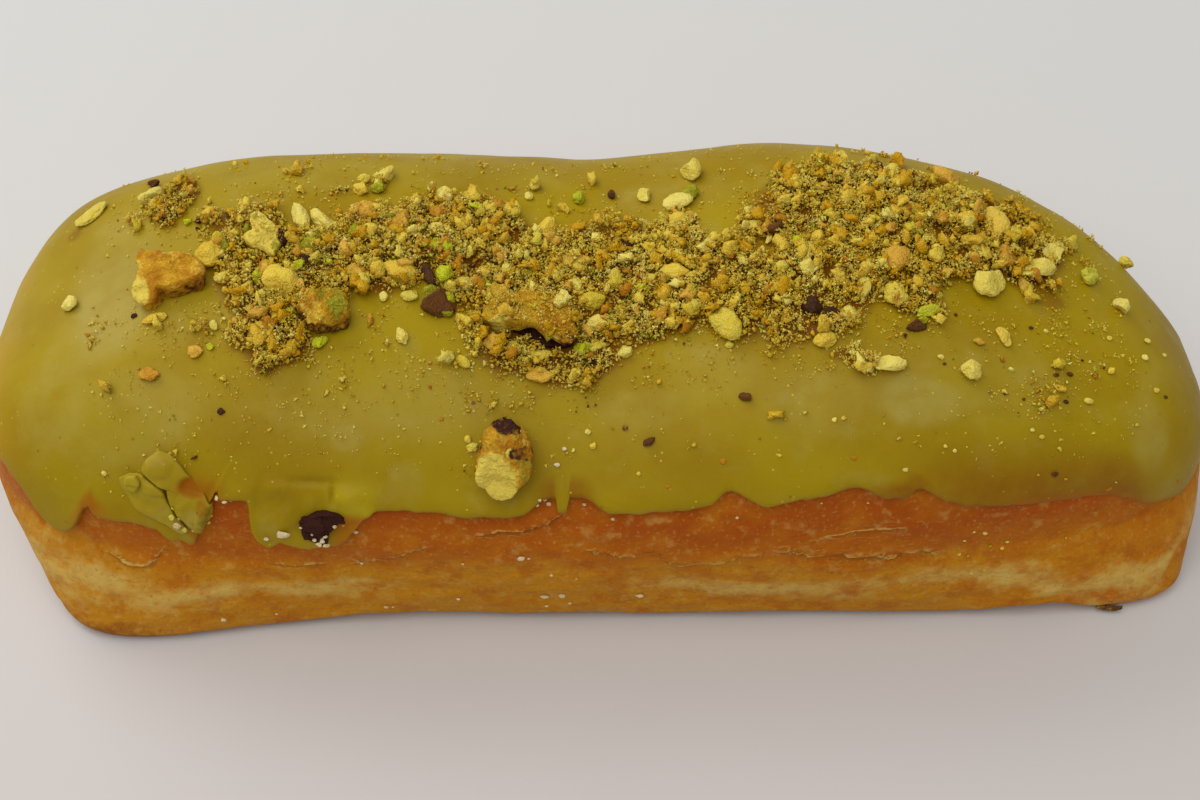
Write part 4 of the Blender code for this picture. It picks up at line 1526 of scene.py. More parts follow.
# What the slabs of cracked icing have in common.
CURLED = {"bends": True, "rim": 0.28, "smoothing": 8, "roughness": 0.09, "grain": 2.0}
# Each slab's painted sheen is stronger on its sides: a painted highlight along its curled rim.
SHARDS = (
    Slab(
        "icing_tongue",
        View.FRONT,
        (
            (-57.8, 29.9), (-57.0, 31.3), (-55.3, 32.3), (-53.6, 32.0), (-52.6, 31.1), (-51.6, 30.0),
            (-50.7, 29.0), (-49.6, 27.5), (-49.0, 26.3), (-49.1, 24.3), (-49.8, 22.7), (-50.6, 22.3),
            (-51.6, 22.8), (-52.9, 24.4), (-54.2, 26.2), (-54.6, 27.8), (-54.6, 28.8), (-56.4, 29.0),
        ),
        1.2,
        tints=(
            Tint("painted_sheen", 0.15, 0.5, (Spot(-55.9, 31.4, 1.6, 0.7, 0.5), Spot(-51.6, 24.5, 1.6, 1.6, 0.5))),
            Tint("lush", 0.2),
            Tint("film", 0.0, 0.0, (Spot(-51.2, 28.6, 2.1, 1.3, 1.0), Spot(-50.0, 26.5, 0.7, 1.6, 0.5))),
        ),
        rises=(
            Spot(-55.4, 30.7, 1.8, 1.2, 0.4), Spot(-51.8, 25.0, 1.8, 2.6, 0.5),
            Spot(-50.9, 28.7, 1.9, 1.3, -0.9),
        ),
        tilt=(-0.12, -0.02),
        **CURLED,
    ),
    Slab(
        "icing_shard",
        View.FRONT,
        (
            (-61.3, 28.2), (-60.2, 28.7), (-59.6, 29.1), (-57.9, 29.4), (-57.2, 28.6), (-56.2, 28.3),
            (-55.0, 27.9), (-54.9, 26.5), (-54.1, 25.0), (-52.8, 23.5), (-52.4, 22.5), (-53.2, 22.0),
            (-54.7, 22.4), (-56.4, 23.1), (-58.0, 24.0), (-59.3, 24.7), (-60.5, 26.4),
        ),
        0.62,
        tints=(Tint("painted_sheen", 0.2, 0.5, (Spot(-55.2, 24.9, 1.0, 0.8, 0.4), Spot(-53.3, 22.9, 1.0, 0.7, 0.6))),
               Tint("lush", 0.4)),
        rises=(Spot(-57.5, 26.5, 2.2, 1.6, -0.2), Spot(-56.2, 27.7, 2.0, 0.8, 0.2)),
        tilt=(0.15, 0.10),
        **CURLED,
    ),
    Slab(
        "icing_flap",
        View.FRONT,
        (
            (-59.7, 29.0), (-58.4, 29.3), (-57.9, 28.5), (-58.2, 27.5), (-59.0, 27.0), (-59.9, 27.4),
            (-60.0, 28.3),
        ),
        1.5,
        tints=(Tint("painted_sheen", 0.4, 0.4), Tint("lush", 0.5)),
        rises=(Spot(-58.8, 27.5, 1.2, 0.6, -0.3),),
        **CURLED,
        columns=96,
    ),
)

# Dark sheets: a piece of nut skin, and a sheet under the half nut that is its skin and painted shadow.
SKIN_AND_SHADOW_SHEETS = (
    Slab(
        "dark_skin",
        View.FRONT,
        (
            (-37.7, 25.6), (-36.2, 26.4), (-34.8, 26.8), (-33.3, 26.8), (-32.3, 26.0), (-31.5, 25.7),
            (-32.9, 24.9), (-33.7, 23.8), (-34.3, 22.0), (-36.1, 22.1), (-37.3, 22.7), (-37.7, 24.2),
        ),
        1.0,
        tints=(
            Tint("pale", 0.0, 0.0, (Spot(-35.3, 22.5, 0.9, 0.7, 0.7),)),
            Tint("green"),
            Tint("skin", 1.1),
        ),
        rises=(Spot(-35.6, 24.9, 1.6, 1.0, 0.5), Spot(-33.6, 25.9, 1.4, 0.6, -0.3)),
        bends=True,
        roughness=0.2,
        grain=0.9,
        columns=96,
    ),
    # A dark sheet along the half nut's near edge: its inner skin, and painted shadow in the hollow under it.
    Slab(
        "hollow_skin",
        View.ABOVE,
        (
            (-11.8, -9.1), (-10.4, -9.3), (-8.7, -9.7), (-7.1, -10.2), (-6.4, -11.1), (-5.0, -11.5),
            (-3.3, -11.7), (-2.1, -12.2), (-2.1, -12.9), (-4.0, -13.2), (-5.9, -13.0), (-7.4, -12.6),
            (-7.9, -11.6), (-9.5, -11.1), (-11.2, -10.2),
        ),
        0.7,
        tints=(Tint("pale"), Tint("green"), Tint("skin", 1.0)),
        dusting=0.15,
        roughness=0.15,
        grain=0.9,
        columns=96,
    ),
)


@dataclass(frozen=True)
class Bit:
    """One crumb that stands out: its place, its size, how it is turned in degrees and its colour.

    Its second coordinate is y if it is placed from above, and z if it is placed from the front.
    """

    x: float
    y: float
    length: float
    width: float
    height: float
    turn: float
    shade: float
    patch: float = 0.0
    view: View = View.ABOVE


def speck(x: float, z: float, size: float, shade: float = 0.7) -> Bit:
    """A small crumb on the front side, a little longer than it is wide and flatter than both."""
    return Bit(x, z, size, 0.8 * size, 0.55 * size, 0, shade, 0.0, View.FRONT)


BITS = {
    Kind.GOLDEN: (
        *starmap(Bit, (
            (-31.2, 12.8, 2.0, 1.7, 1.4, 0, 0.8), (-51.7, 8.7, 2.0, 1.8, 1.4, 30, 0.9),
            (-50.4, 1.0, 2.9, 4.6, 2.4, -10, 0.7), (-40.7, -4.6, 4.3, 4.7, 2.6, 20, 1.0, 0.3),
            (-56.7, -8.8, 2.8, 1.5, 0.8, 10, 0.8), (-42.2, -12.6, 3.2, 3.4, 2.0, 20, 0.5),
            (-24.8, -3.1, 4.6, 3.4, 2.0, -35, 0.8), (-5.5, 5.8, 2.7, 3.6, 2.0, 0, 0.85),
            (12.0, 6.0, 2.2, 3.0, 1.6, -30, 0.8), (11.2, -3.0, 3.5, 2.3, 1.6, -10, 1.0),
            (30.1, 0.5, 1.9, 2.5, 1.6, 0, 1.0), (34.5, 8.0, 2.6, 2.6, 1.8, 0, 1.0, 0.4),
            (50.5, 6.0, 3.0, 3.2, 1.9, 0, 0.9), (30.0, -15.1, 2.5, 2.2, 1.5, 0, 0.8),
            (-15.7, -24.5, 1.4, 1.1, 0.8, -30, 0.9), (0.3, -25.0, 1.1, 0.9, 0.6, 30, 1.0),
            (6.1, -28.1, 0.7, 0.6, 0.5, 0, 1.0), (24.0, -27.3, 0.6, 0.5, 0.4, 0, 1.0),
            (68.5, -9.5, 1.0, 0.8, 0.5, 30, 1.0), (68.0, -14.7, 1.4, 1.0, 0.7, 40, 0.9),
            (74.4, -15.6, 1.0, 0.8, 0.5, 0, 1.0), (45.2, -26.3, 0.8, 0.6, 0.5, 0, 1.0),
            (57.9, -24.2, 0.8, 0.7, 0.5, 0, 1.0), (32.1, -23.9, 0.8, 0.6, 0.5, 0, 1.0),
        )),
        *starmap(speck, (
            (50.3, 14.1, 0.45), (52.9, 11.2, 0.5),
        )),
    ),
    Kind.PALE: (
        *starmap(Bit, (
            (-38.8, 6.9, 4.8, 1.9, 1.7, -70, 0.9), (-35.6, 6.3, 4.2, 2.1, 1.8, -45, 0.8),
            (-28.2, 16.1, 3.6, 1.9, 1.6, 55, 0.6), (-31.0, 15.4, 1.7, 1.4, 1.2, 60, 0.5),
            (-20.6, 5.4, 2.7, 1.6, 1.4, 10, 1.0), (-19.9, 12.0, 2.2, 2.7, 1.7, 0, 1.0),
            (-47.2, -0.8, 1.3, 1.2, 1.0, 0, 0.7), (-48.5, -2.7, 1.8, 1.6, 1.3, 40, 0.7),
            (-43.1, -6.2, 1.7, 1.5, 1.3, 0, 0.5), (-44.0, -8.5, 2.2, 1.5, 1.2, -30, 0.6),
            (-48.8, -10.6, 1.3, 1.9, 1.1, 15, 0.6), (-24.3, -12.5, 2.3, 1.3, 1.1, -60, 0.7),
            (-27.0, -6.5, 1.3, 1.7, 1.2, 10, 1.0), (-16.5, -4.0, 2.5, 1.9, 1.5, 20, 0.5),
            (-23.5, -6.4, 2.1, 1.4, 1.2, 10, 0.5), (-69.2, -3.3, 2.3, 2.1, 1.5, 0, 1.0),
            (-68.9, 13.9, 4.6, 3.2, 0.9, 40, 0.5, 0.2), (-12.0, 6.6, 1.6, 2.7, 1.4, 10, 0.4),
            (-8.3, 13.3, 1.3, 1.5, 1.1, 0, 1.0), (7.6, 12.0, 1.6, 2.4, 1.4, 15, 0.7),
            (11.9, 9.7, 3.9, 2.6, 1.4, 20, 0.95), (14.1, 16.2, 2.5, 4.0, 2.3, 5, 0.55),
            (-1.8, -3.7, 1.7, 2.3, 1.4, 0, 0.6), (0.3, -6.0, 3.0, 3.0, 2.0, 20, 0.2, 0.4),
            (1.2, -9.8, 3.1, 2.0, 1.7, 25, 0.75), (-9.9, -13.5, 2.6, 1.8, 1.2, -40, 0.4),
            (-6.5, -14.3, 3.1, 1.4, 1.4, 5, 0.3), (-16.5, -15.4, 2.1, 1.3, 1.0, -30, 0.3, 0.4),
            (4.6, -14.0, 1.7, 1.6, 1.2, 0, 0.9), (2.3, 1.0, 1.3, 1.6, 1.2, 0, 0.9),
            (8.0, -3.3, 1.7, 1.6, 1.3, 0, 0.5), (17.6, -11.8, 5.2, 3.2, 2.5, -48, 0.35),
            (17.9, -14.5, 1.4, 1.2, 1.0, 0, 0.4), (22.0, 5.7, 0.9, 2.5, 1.1, 0, 0.9),
            (21.8, 3.3, 2.9, 1.4, 1.3, 5, 0.6), (23.6, 0.8, 1.1, 1.9, 1.1, -20, 1.0),
            (26.7, -7.0, 1.3, 3.0, 1.4, 0, 0.5), (43.2, 5.8, 2.3, 3.3, 1.9, 15, 0.3, 0.3),
            (59.0, -0.8, 6.0, 3.2, 2.2, 25, 0.6), (52.0, -4.6, 4.0, 4.1, 2.6, 0, 0.6, 0.1),
            (62.4, 3.7, 2.9, 2.4, 1.9, 10, 0.8), (71.1, -2.9, 2.1, 2.5, 1.6, 0, 0.85),
            (39.4, -8.6, 3.2, 2.7, 1.9, 0, 0.3), (36.0, -4.6, 1.9, 1.8, 1.5, 0, 0.4),
            (35.3, -8.0, 1.8, 3.4, 1.6, -10, 0.6), (33.3, -11.6, 2.3, 1.8, 1.4, 20, 0.7),
            (38.1, -18.1, 4.1, 2.1, 1.8, 5, 0.8), (48.5, -18.3, 2.9, 2.7, 2.0, 30, 0.7),
            (44.7, -16.9, 1.0, 0.9, 0.7, 0, 0.9), (41.3, 14.6, 2.1, 2.0, 1.5, 0, 0.5),
            (74.4, 8.6, 2.0, 2.4, 1.4, 0, 0.4), (-15.2, -25.3, 1.7, 1.2, 0.8, 20, 0.6),
            (-0.4, -23.5, 1.0, 0.8, 0.6, 0, 0.9), (-2.3, -25.4, 0.7, 0.6, 0.5, 40, 0.9),
            (59.6, -10.4, 0.9, 0.7, 0.5, 0, 0.9), (74.3, -7.7, 1.1, 0.9, 0.7, 0, 0.8),
            (73.3, -11.1, 1.2, 1.0, 0.8, 0, 1.0), (64.4, -19.3, 1.4, 1.1, 0.7, 0, 0.5),
            (54.1, -17.1, 0.9, 0.7, 0.5, 0, 0.9), (46.4, -26.6, 0.7, 0.6, 0.4, 0, 1.0),
            (56.7, -23.7, 0.9, 0.7, 0.5, 0, 1.0), (31.0, -24.1, 0.9, 0.7, 0.5, 0, 0.9),
            (40.1, -28.6, 0.8, 0.6, 0.4, 0, 1.0), (76.8, -8.9, 0.8, 0.7, 0.5, 0, 0.8),
        )),
        *starmap(speck, (
            (-53.9, 26.6, 0.6, 0.2), (-52.5, 24.4, 0.6, 0.5), (-49.9, 23.2, 0.7, 0.7),
            (-49.4, 24.3, 0.5, 0.2), (-54.3, 24.9, 1.1, 0.6), (-52.9, 23.3, 1.0, 0.5), (49.1, 14.5, 0.6),
            (50.4, 19.6, 0.6), (52.0, 18.9, 0.7), (54.9, 14.7, 0.7), (55.5, 15.8, 0.6), (49.4, 17.6, 0.5),
            (51.2, 10.7, 0.5), (29.8, 26.4, 0.45), (35.8, 26.0, 0.45),
        )),
    ),
    Kind.TAN: (
        *starmap(Bit, (
            (-30.2, 7.9, 2.9, 2.7, 2.2, 0, 0.9), (-55.6, 17.4, 3.6, 1.1, 1.0, -60, 0.2),
            (-25.5, 6.4, 4.6, 3.4, 2.0, 5, 0.75), (-24.9, 4.5, 4.4, 1.5, 1.2, 8, 1.0),
            (-20.6, 8.4, 2.4, 2.2, 1.7, 0, 0.35), (-42.7, -1.8, 1.8, 2.3, 1.5, 0, 0.8, 0.4),
            (-51.0, -14.2, 2.1, 1.6, 0.9, 0, 0.9), (-56.8, -16.8, 2.2, 1.6, 1.1, 0, 0.4),
            (-31.0, -2.6, 2.2, 1.9, 1.5, 0, 1.0, 0.5), (13.6, 7.0, 1.5, 1.4, 1.2, 0, 0.9),
            (-12.6, -12.6, 2.4, 2.4, 1.5, 0, 1.0), (-6.6, -16.9, 2.7, 1.9, 1.5, 0, 0.95),
            (-2.0, 0.6, 3.4, 2.4, 1.6, 0, 0.95, 0.6), (54.5, 6.0, 2.9, 5.0, 2.4, 15, 0.95, 0.6),
            (55.2, 0.7, 2.6, 3.4, 2.1, -20, 0.6), (39.8, -2.8, 3.9, 4.0, 2.4, 0, 0.8),
            (53.3, -12.6, 2.0, 2.6, 0.9, 25, 1.0, 0.7), (50.0, -14.0, 1.5, 0.9, 0.8, 0, 0.8),
            (57.5, -4.2, 1.5, 3.0, 1.0, 20, 1.0, 0.5), (48.7, 15.0, 3.4, 3.6, 2.2, 20, 0.8, 0.3),
            (9.8, -29.5, 0.8, 0.6, 0.2, 0, 0.0), (-19.2, -22.4, 0.8, 0.6, 0.2, 0, 0.0),
            (16.9, -27.5, 1.0, 0.9, 0.25, 0, 0.1), (33.5, -27.7, 0.9, 0.7, 0.2, 0, 0.0),
            (68.1, -26.2, 1.0, 0.8, 0.2, 0, 0.0), (78.6, -22.4, 0.7, 0.6, 0.2, 0, 0.0),
        )),
    ),
    Kind.GREEN: (
        *starmap(Bit, (
            (-29.0, 13.2, 2.0, 1.6, 1.3, 20, 0.4), (-54.4, 7.9, 1.4, 1.0, 0.9, 0, 0.9),
            (-36.8, 2.3, 2.8, 2.6, 1.6, 20, 0.45, 0.3), (-20.8, 2.2, 1.6, 2.7, 1.4, -8, 1.0),
            (-39.2, -9.3, 1.5, 1.9, 1.3, 0, 1.0, 0.3), (-49.0, -13.7, 1.3, 1.0, 0.8, 0, 0.8, 0.4),
            (-34.9, -13.3, 1.8, 1.7, 1.2, 0, 0.9), (-20.9, -6.1, 2.2, 1.8, 1.7, 20, 0.3),
            (-18.5, -6.7, 1.9, 1.5, 1.7, -30, 0.5, 0.3), (-18.7, -8.7, 1.6, 1.2, 1.4, 0, 0.1),
            (-31.4, 4.3, 1.9, 2.1, 1.3, 30, 0.4), (-8.5, -1.0, 3.5, 1.9, 1.5, 35, 1.0),
            (-1.5, 12.9, 1.5, 2.1, 1.2, 0, 0.6), (13.7, 11.4, 2.1, 2.3, 1.6, 0, 0.3),
            (-1.0, -13.3, 2.0, 1.9, 1.4, 0, 1.0, 0.25), (27.2, 0.0, 1.7, 1.9, 1.4, 0, 0.95),
            (67.2, 1.2, 2.1, 3.0, 1.6, -30, 0.6, 0.5), (43.5, -10.7, 3.5, 1.3, 1.3, 20, 0.9, 0.4),
            (42.6, -12.2, 1.8, 0.9, 1.2, 20, 0.3),
        )),
        *starmap(speck, (
            (53.2, 15.4, 0.5),
        )),
    ),
    Kind.DARK: (
        *starmap(Bit, (
            (-60.4, 17.6, 1.8, 1.2, 1.0, -30, 0.6), (-21.5, -2.8, 4.0, 1.5, 1.3, -60, 0.5),
            (-19.7, -7.6, 4.4, 3.5, 2.3, 0, 1.0, 0.25), (-44.8, -4.8, 1.7, 1.5, 1.2, 0, 0.5),
            (3.1, 13.2, 1.4, 1.9, 1.2, 0, 0.6), (5.0, 1.2, 1.7, 3.6, 1.5, -8, 0.35),
            (28.6, -10.6, 2.4, 2.2, 1.5, 0, 0.2), (31.0, -11.6, 2.2, 1.8, 1.3, 30, 0.1),
            (41.8, -13.0, 2.8, 1.5, 1.2, 10, 0.7), (19.8, -21.2, 1.9, 1.1, 0.9, -20, 0.9),
            (7.4, -25.0, 1.7, 1.0, 0.8, 30, 0.9), (39.2, 15.4, 1.7, 1.9, 1.3, 0, 0.8),
            (-47.2, -21.9, 1.1, 1.0, 0.5, 0, 0.2), (-59.8, -7.5, 0.9, 1.0, 0.5, 0, 0.2),
            (4.4, -23.4, 0.9, 0.8, 0.5, 0, 0.8, 0.4), (53.1, -20.1, 0.8, 0.7, 0.4, 0, 0.9),
            (57.5, -10.4, 0.7, 0.6, 0.4, 0, 0.6), (60.2, -16.8, 1.0, 0.6, 0.5, 20, 1.0, 0.3),
            (62.1, -16.3, 1.0, 0.7, 0.5, -20, 0.9), (55.6, -20.5, 0.6, 0.5, 0.3, 0, 0.9),
            (60.0, -26.9, 1.2, 0.9, 0.5, 0, 0.9, 0.3), (75.8, -16.0, 0.7, 0.6, 0.3, 0, 0.8),
            (61.3, -20.0, 0.9, 0.6, 0.4, 0, 0.5), (65.9, -15.6, 0.5, 0.5, 0.3, 0, 0.8),
            (64.1, -14.0, 0.5, 0.4, 0.3, 0, 0.6), (45.2, -17.6, 0.6, 0.5, 0.3, 0, 0.9),
            (47.3, -10.4, 0.7, 0.6, 0.3, 0, 0.7), (71.9, 1.3, 3.6, 1.0, 0.9, 8, 1.0, 0.4, View.FRONT),
        )),
    ),
    Kind.CHALKY: (
        *starmap(Bit, (
            (-4.4, -26.8, 0.9, 0.7, 0.5, 0, 0.9), (-3.4, -25.2, 0.7, 0.6, 0.5, 0, 0.9),
            (-40.0, 23.7, 1.6, 1.3, 0.8, 0, 1.0, 0.0, View.FRONT),
            (-9.3, 17.4, 1.3, 0.9, 0.8, 20, 1.0, 0.0, View.FRONT),
            (-6.4, 7.1, 1.3, 0.8, 0.6, 0, 0.7, 0.0, View.FRONT),
            (-4.0, 7.4, 1.2, 0.9, 0.6, 0, 0.4, 0.0, View.FRONT),
            (6.4, 7.0, 1.3, 0.8, 0.6, 0, 0.7, 0.0, View.FRONT),
        )),
        *starmap(speck, (
            (-35.3, 22.4, 1.0, 1.0), (-34.4, 22.4, 1.0, 0.8), (-34.9, 22.9, 0.8, 0.9),
            (-34.5, 23.5, 0.7, 0.7), (-33.1, 25.2, 0.7, 0.5), (-37.5, 25.0, 0.5, 0.6),
            (-53.2, 25.5, 0.5, 0.0), (-51.7, 23.3, 0.5, 0.2), (-50.7, 22.7, 0.8, 0.2),
            (-53.6, 24.0, 1.4, 0.2), (-35.9, 22.9, 0.7, 0.8), (-36.2, 23.4, 0.5, 0.6),
            (-34.9, 23.1, 0.5, 0.9), (-42.3, 22.1, 0.8, 0.6), (-30.8, 22.3, 0.9, 0.9),
            (-48.1, 27.6, 1.0, 0.8), (-47.3, 27.2, 0.9, 0.9), (-46.6, 26.8, 0.8, 0.6),
            (-45.6, 26.8, 0.6, 0.4), (-6.1, 26.3, 0.9, 1.0), (-5.5, 25.7, 0.8, 0.8),
            (-6.6, 27.5, 0.7, 0.6), (-7.0, 26.6, 0.5, 0.9), (-0.9, 25.8, 0.6, 0.7), (-17.1, 15.7, 0.5),
            (-18.2, 6.6, 0.7), (-6.2, 4.6, 0.6), (-5.4, 13.1, 0.5), (-8.3, 17.1, 0.5), (-30.6, 14.9, 0.7),
            (-50.3, 4.0, 0.9), (-43.1, 4.2, 0.6), (-28.1, 4.8, 0.8), (-27.2, 4.6, 0.5), (2.8, 23.9, 0.6),
            (18.9, 24.4, 0.5), (-2.0, 12.2, 0.45), (-3.0, 5.3, 0.5),
        )),
    ),
}


@dataclass(frozen=True)
class Layer:
    """One size of loose crumb: how many are drawn, their radii, and in how many rounds they fall.

    spread says how many also lie past the patches, and faceted whether their facets show. lift
    moves their shades and scatter varies them. shares has each kind's part, in the order of Kind.
    """

    count: int
    smallest: float
    largest: float
    rounds: int
    spread: float
    faceted: bool = True
    lift: float = 0.0
    scatter: float = 0.3
    shares: tuple[float, ...] = (0.58, 0.20, 0.18, 0.03, 0.01)


class Crumbs:
    """All the crushed pistachio, one joined mesh for each kind and size."""

    area_x = (-66.0, 72.0)
    area_y = (-28.0, 24.0)
    middle = Layer(7000, 0.36, 0.92, 5, 0.004, False)
    fine = Layer(20000, 0.22, 0.42, 6, 0.008, False)
    dust = Layer(44000, 0.17, 0.28, 6, 0.02)
    finest = Layer(120000, 0.10, 0.21, 10, 0.06, True, 0.40, 0.30, (0.70, 0.22, 0.05, 0.015, 0.015))
    # Bits shorter than this are specks. Both have a fineness, and a scale for what breaking takes off.
    small = 1.5
    large_form = (4, 1.1)
    small_form = (3, 0.9)
    # How high the crumbs pile up at most, and how high a crumb's middle lies, as a share of its radius.
    deepest = 1.9
    clearance = 0.8
    # How readily crumbs stick to the icing and the dough, where a slab has its dusting.
    everywhere = 9.0
    # What scales the chance that crumbs stick, and the share of them that stays on larger ones.
    grip = 0.05
    on_bits = 0.1
    # How many differently broken forms each size has.
    variety = 16
    halo = tuple(starmap(Spot, (
        (-40.0, -13.0, 24.0, 10.0, 0.16), (-10.0, -13.0, 24.0, 10.0, 0.20),
        (-16.0, -27.0, 11.0, 5.0, 0.22), (-44.0, -24.0, 16.0, 6.0, 0.13), (20.0, -13.0, 20.0, 8.0, 0.16),
        (46.0, -10.0, 24.0, 12.0, 0.15), (58.0, -17.0, 16.0, 9.0, 0.16), (70.0, -6.0, 7.0, 10.0, 0.16),
        (-30.0, 8.0, 34.0, 12.0, 0.12), (30.0, 8.0, 36.0, 12.0, 0.12), (-50.5, -10.5, 6.0, 5.0, 0.35),
        (-65.0, 13.5, 8.0, 4.0, 0.30), (-20.0, 22.0, 44.0, 5.0, 0.10),
    )))

    def __init__(self, ground: Ground, cover: Cover, sticking: Array) -> None:
        """Gets ready to strew crumbs.

        Args:
            ground: What they lie on.
            cover: Where they lie.
            sticking: How readily crumbs stick to each piece of the ground.
        """
        self.ground = ground
        self.cover = cover
        self.sticking = sticking
        self.pile = Pile()
        self.clumps = Grain(77)
        self.rng = np.random.default_rng(19)
        self.shown = Pile()

    def templates(self, corners: Array, cuts: int, roughness: float) -> Array:
        """Differently broken forms of the same ball."""
        return np.stack([broken(corners, self.rng, cuts, roughness) for _ in range(self.variety)])

    def joined(self, name: str, kind: Kind, forms: Array, faces: Array, middle: Array, size: Array,
               turns: Array, shade: Array, patch: Array, faceted: bool) -> bpy.types.Object:
        """Joins many crumbs of a kind into one mesh.

        Args:
            name: The piece's name.
            kind: Which colour they have.
            forms: Template points, one set for each form.
            faces: The triangles that all forms share.
            middle: The crumbs' middles.
            size: Their half sizes along their own axes.
            turns: Their turns, as matrices.
            shade: Each crumb's place between the kind's two shades.
            patch: How much of each crumb has the kind's third colour.
            faceted: Whether the facets show.

        Returns:
            The finished object.
        """
        form = forms[self.rng.integers(len(forms), size=len(middle))]
        point = np.einsum("nij,nvj->nvi", turns, form * size[:, None]) + middle[:, None]
        corners = form.shape[1]
        triangles = faces[None] + corners * np.arange(len(middle))[:, None, None]
        values = {"shade": np.repeat(shade, corners), "patch": np.repeat(patch, corners)}
        obj = put_mesh(name, point.reshape(-1, 3), [triangles.reshape(-1, 3)], values)
        obj.data.materials.append(bpy.data.materials.get(kind.value.name) or kind.value.material())
        if faceted:
            obj.data.shade_flat()
        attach(obj, BODY)
        "pale_nut" if kind in (Kind.PALE, Kind.GREEN, Kind.CHALKY) else "toasted_nut"
        log.info("%s: %d crumbs, %d triangles", name, len(middle), len(middle) * len(faces))
        return obj

    def place_bits(self) -> None:
        """Lays the crumbs that stand out, each at its own place, and joins them by kind."""
        for kind in Kind:
            large = [bit for bit in BITS[kind] if bit.length >= self.small]
            specks = [bit for bit in BITS[kind] if bit.length < self.small]
            self.lay(f"{kind.name.lower()}_bits", kind, large, *self.large_form)
            self.lay(f"{kind.name.lower()}_specks", kind, specks, *self.small_form)

    def lay(self, name: str, kind: Kind, chosen: list[Bit], fineness: int, scale: float) -> None:
        """Lays crumbs at their own places and joins them.

        Args:
            name: The piece's name.
            kind: Which colour they have.
            chosen: The crumbs.
            fineness: How finely the balls that they are broken from are divided.
            scale: What makes up for what breaking takes off.
        """
        if not chosen:
            return
        corners, faces = ball(fineness)
        forms = self.templates(corners, 3, 0.2)
        bits = sorted(chosen, key=lambda bit: bit.view.value)
        across, other = np.array([(bit.x, bit.y) for bit in bits]).T
        size = np.array([(bit.length, bit.width, bit.height) for bit in bits]) / 2 * scale
        above = sum(bit.view is View.ABOVE for bit in bits)
        lying = self.ground.below(across[:above], other[:above])
        pressed = self.ground.facing(across[above:], other[above:])
        point, normal = (np.concatenate(parts) for parts in zip(lying, pressed))
        turns = standing(normal, np.radians([bit.turn for bit in bits]))
        middle = point + normal * (size[:, 2] * self.clearance)[:, None]
        self.mark(across[:above], other[:above], size[:above])
        shade, patch = np.array([bit.shade for bit in bits]), np.array([bit.patch for bit in bits])
        self.joined(name, kind, forms, faces, middle, size, turns, shade, patch, faceted=False)

    def mark(self, x: Array, y: Array, size: Array) -> None:
        """Notes the cells that larger pieces cover, so that few crumbs fall on them.

        Args:
            x: The pieces' middles along X.
            y: The same along Y.
            size: Their half sizes.
        """
        for share in (0.0, 0.3, 0.6, 0.85):
            for angle in np.arange(12) * math.pi / 6:
                aside = x + share * size[:, 0] * math.cos(angle)
                ahead = y + share * size[:, 1] * math.sin(angle)
                np.maximum.at(self.shown.height, self.shown.index(aside, ahead), 1.0)

    def strew(self, name: str, layer: Layer, corners: Array, faces: Array) -> None:
        """Strews one size of crumb over the patches, in rounds, so that they pile up.

        Args:
            name: What the size is called.
            layer: How many there are and how large.
            corners: Points of the ball that they are broken from.
            faces: Its triangles.
        """
        forms = self.templates(corners, 4, 0.42)
        found = []
        for _ in range(layer.rounds):
            count = layer.count // layer.rounds
            x, y = self.rng.uniform(*self.area_x, count), self.rng.uniform(*self.area_y, count)
            draw = self.rng.uniform(0, 1, count) ** 2
            radius = layer.smallest + (layer.largest - layer.smallest) * draw
            share = self.cover.share(x, y)
            clump = self.cover.grain(np.stack([x, y, x * 0], axis=-1), 2.6, 2)
            halo = sum(spot.share(x, y) for spot in self.halo)
            within = smooth(share + 0.5 * clump, 0.2, 1.0) ** 1.5
            chance = within + layer.spread * (0.1 + share + 6 * halo * (0.6 + clump))
            bare = self.shown.height[self.shown.index(x, y)] < 0.5
            keep = self.rng.uniform(0, 1, count) < chance * np.where(bare, 1.0, self.on_bits)
            x, y, radius = x[keep], y[keep], radius[keep]
            point, normal = self.ground.below(x, y)
            sticks = self.sticking[self.ground.piece] * self.grip / layer.largest**1.5
            keep = self.rng.uniform(0, 1, len(x)) < sticks
            x, y, radius, point, normal = x[keep], y[keep], radius[keep], point[keep], normal[keep]
            rest = np.minimum(self.pile.drop(x, y, radius), self.deepest - radius)
            middle = point + normal * (self.clearance * radius)[:, None]
            middle = middle + np.array([0, 0, 1.0]) * rest[:, None]
            found.append((middle, radius))
        middle = np.concatenate([item[0] for item in found])
        radius = np.concatenate([item[1] for item in found])
        self.deal(name, middle, radius, forms, faces, layer)

    def deal(self, name: str, middle: Array, radius: Array, forms: Array, faces: Array,
             layer: Layer) -> None:
        """Deals crumbs out among the kinds, more of one kind in some places than in others.

        Args:
            name: What the size is called.
            middle: The crumbs' middles.
            radius: Their radii.
            forms: Template points.
            faces: The triangles that all forms share.
            layer: Which size it is.
        """
        draw = 0.5 * self.rng.uniform(0, 1, len(middle)) + 0.6 * self.clumps(middle, 2.2, 2)
        draw = np.argsort(np.argsort(draw)) / len(draw)
        shades = 0.5 + layer.lift + 0.8 * self.clumps(middle + 50, 1.6, 2)
        shades = np.clip(shades + layer.scatter * self.rng.normal(size=len(draw)), 0, 1)
        stretch = self.rng.uniform(0.55, 1.5, (len(middle), 3))
        turns = turned(len(middle), self.rng)
        limit = 0.0
        for kind, share in zip(Kind, layer.shares):
            chosen = (draw >= limit) & (draw < limit + share)
            limit += share
            shade = shades[chosen]
            patch = 0.5 * self.rng.uniform(0, 1, chosen.sum()) ** 3
            size = radius[chosen, None] * stretch[chosen]
            label = f"{kind.name.lower()}_{name}"
            self.joined(label, kind, forms, faces, middle[chosen], size, turns[chosen], shade, patch,
                        layer.faceted)

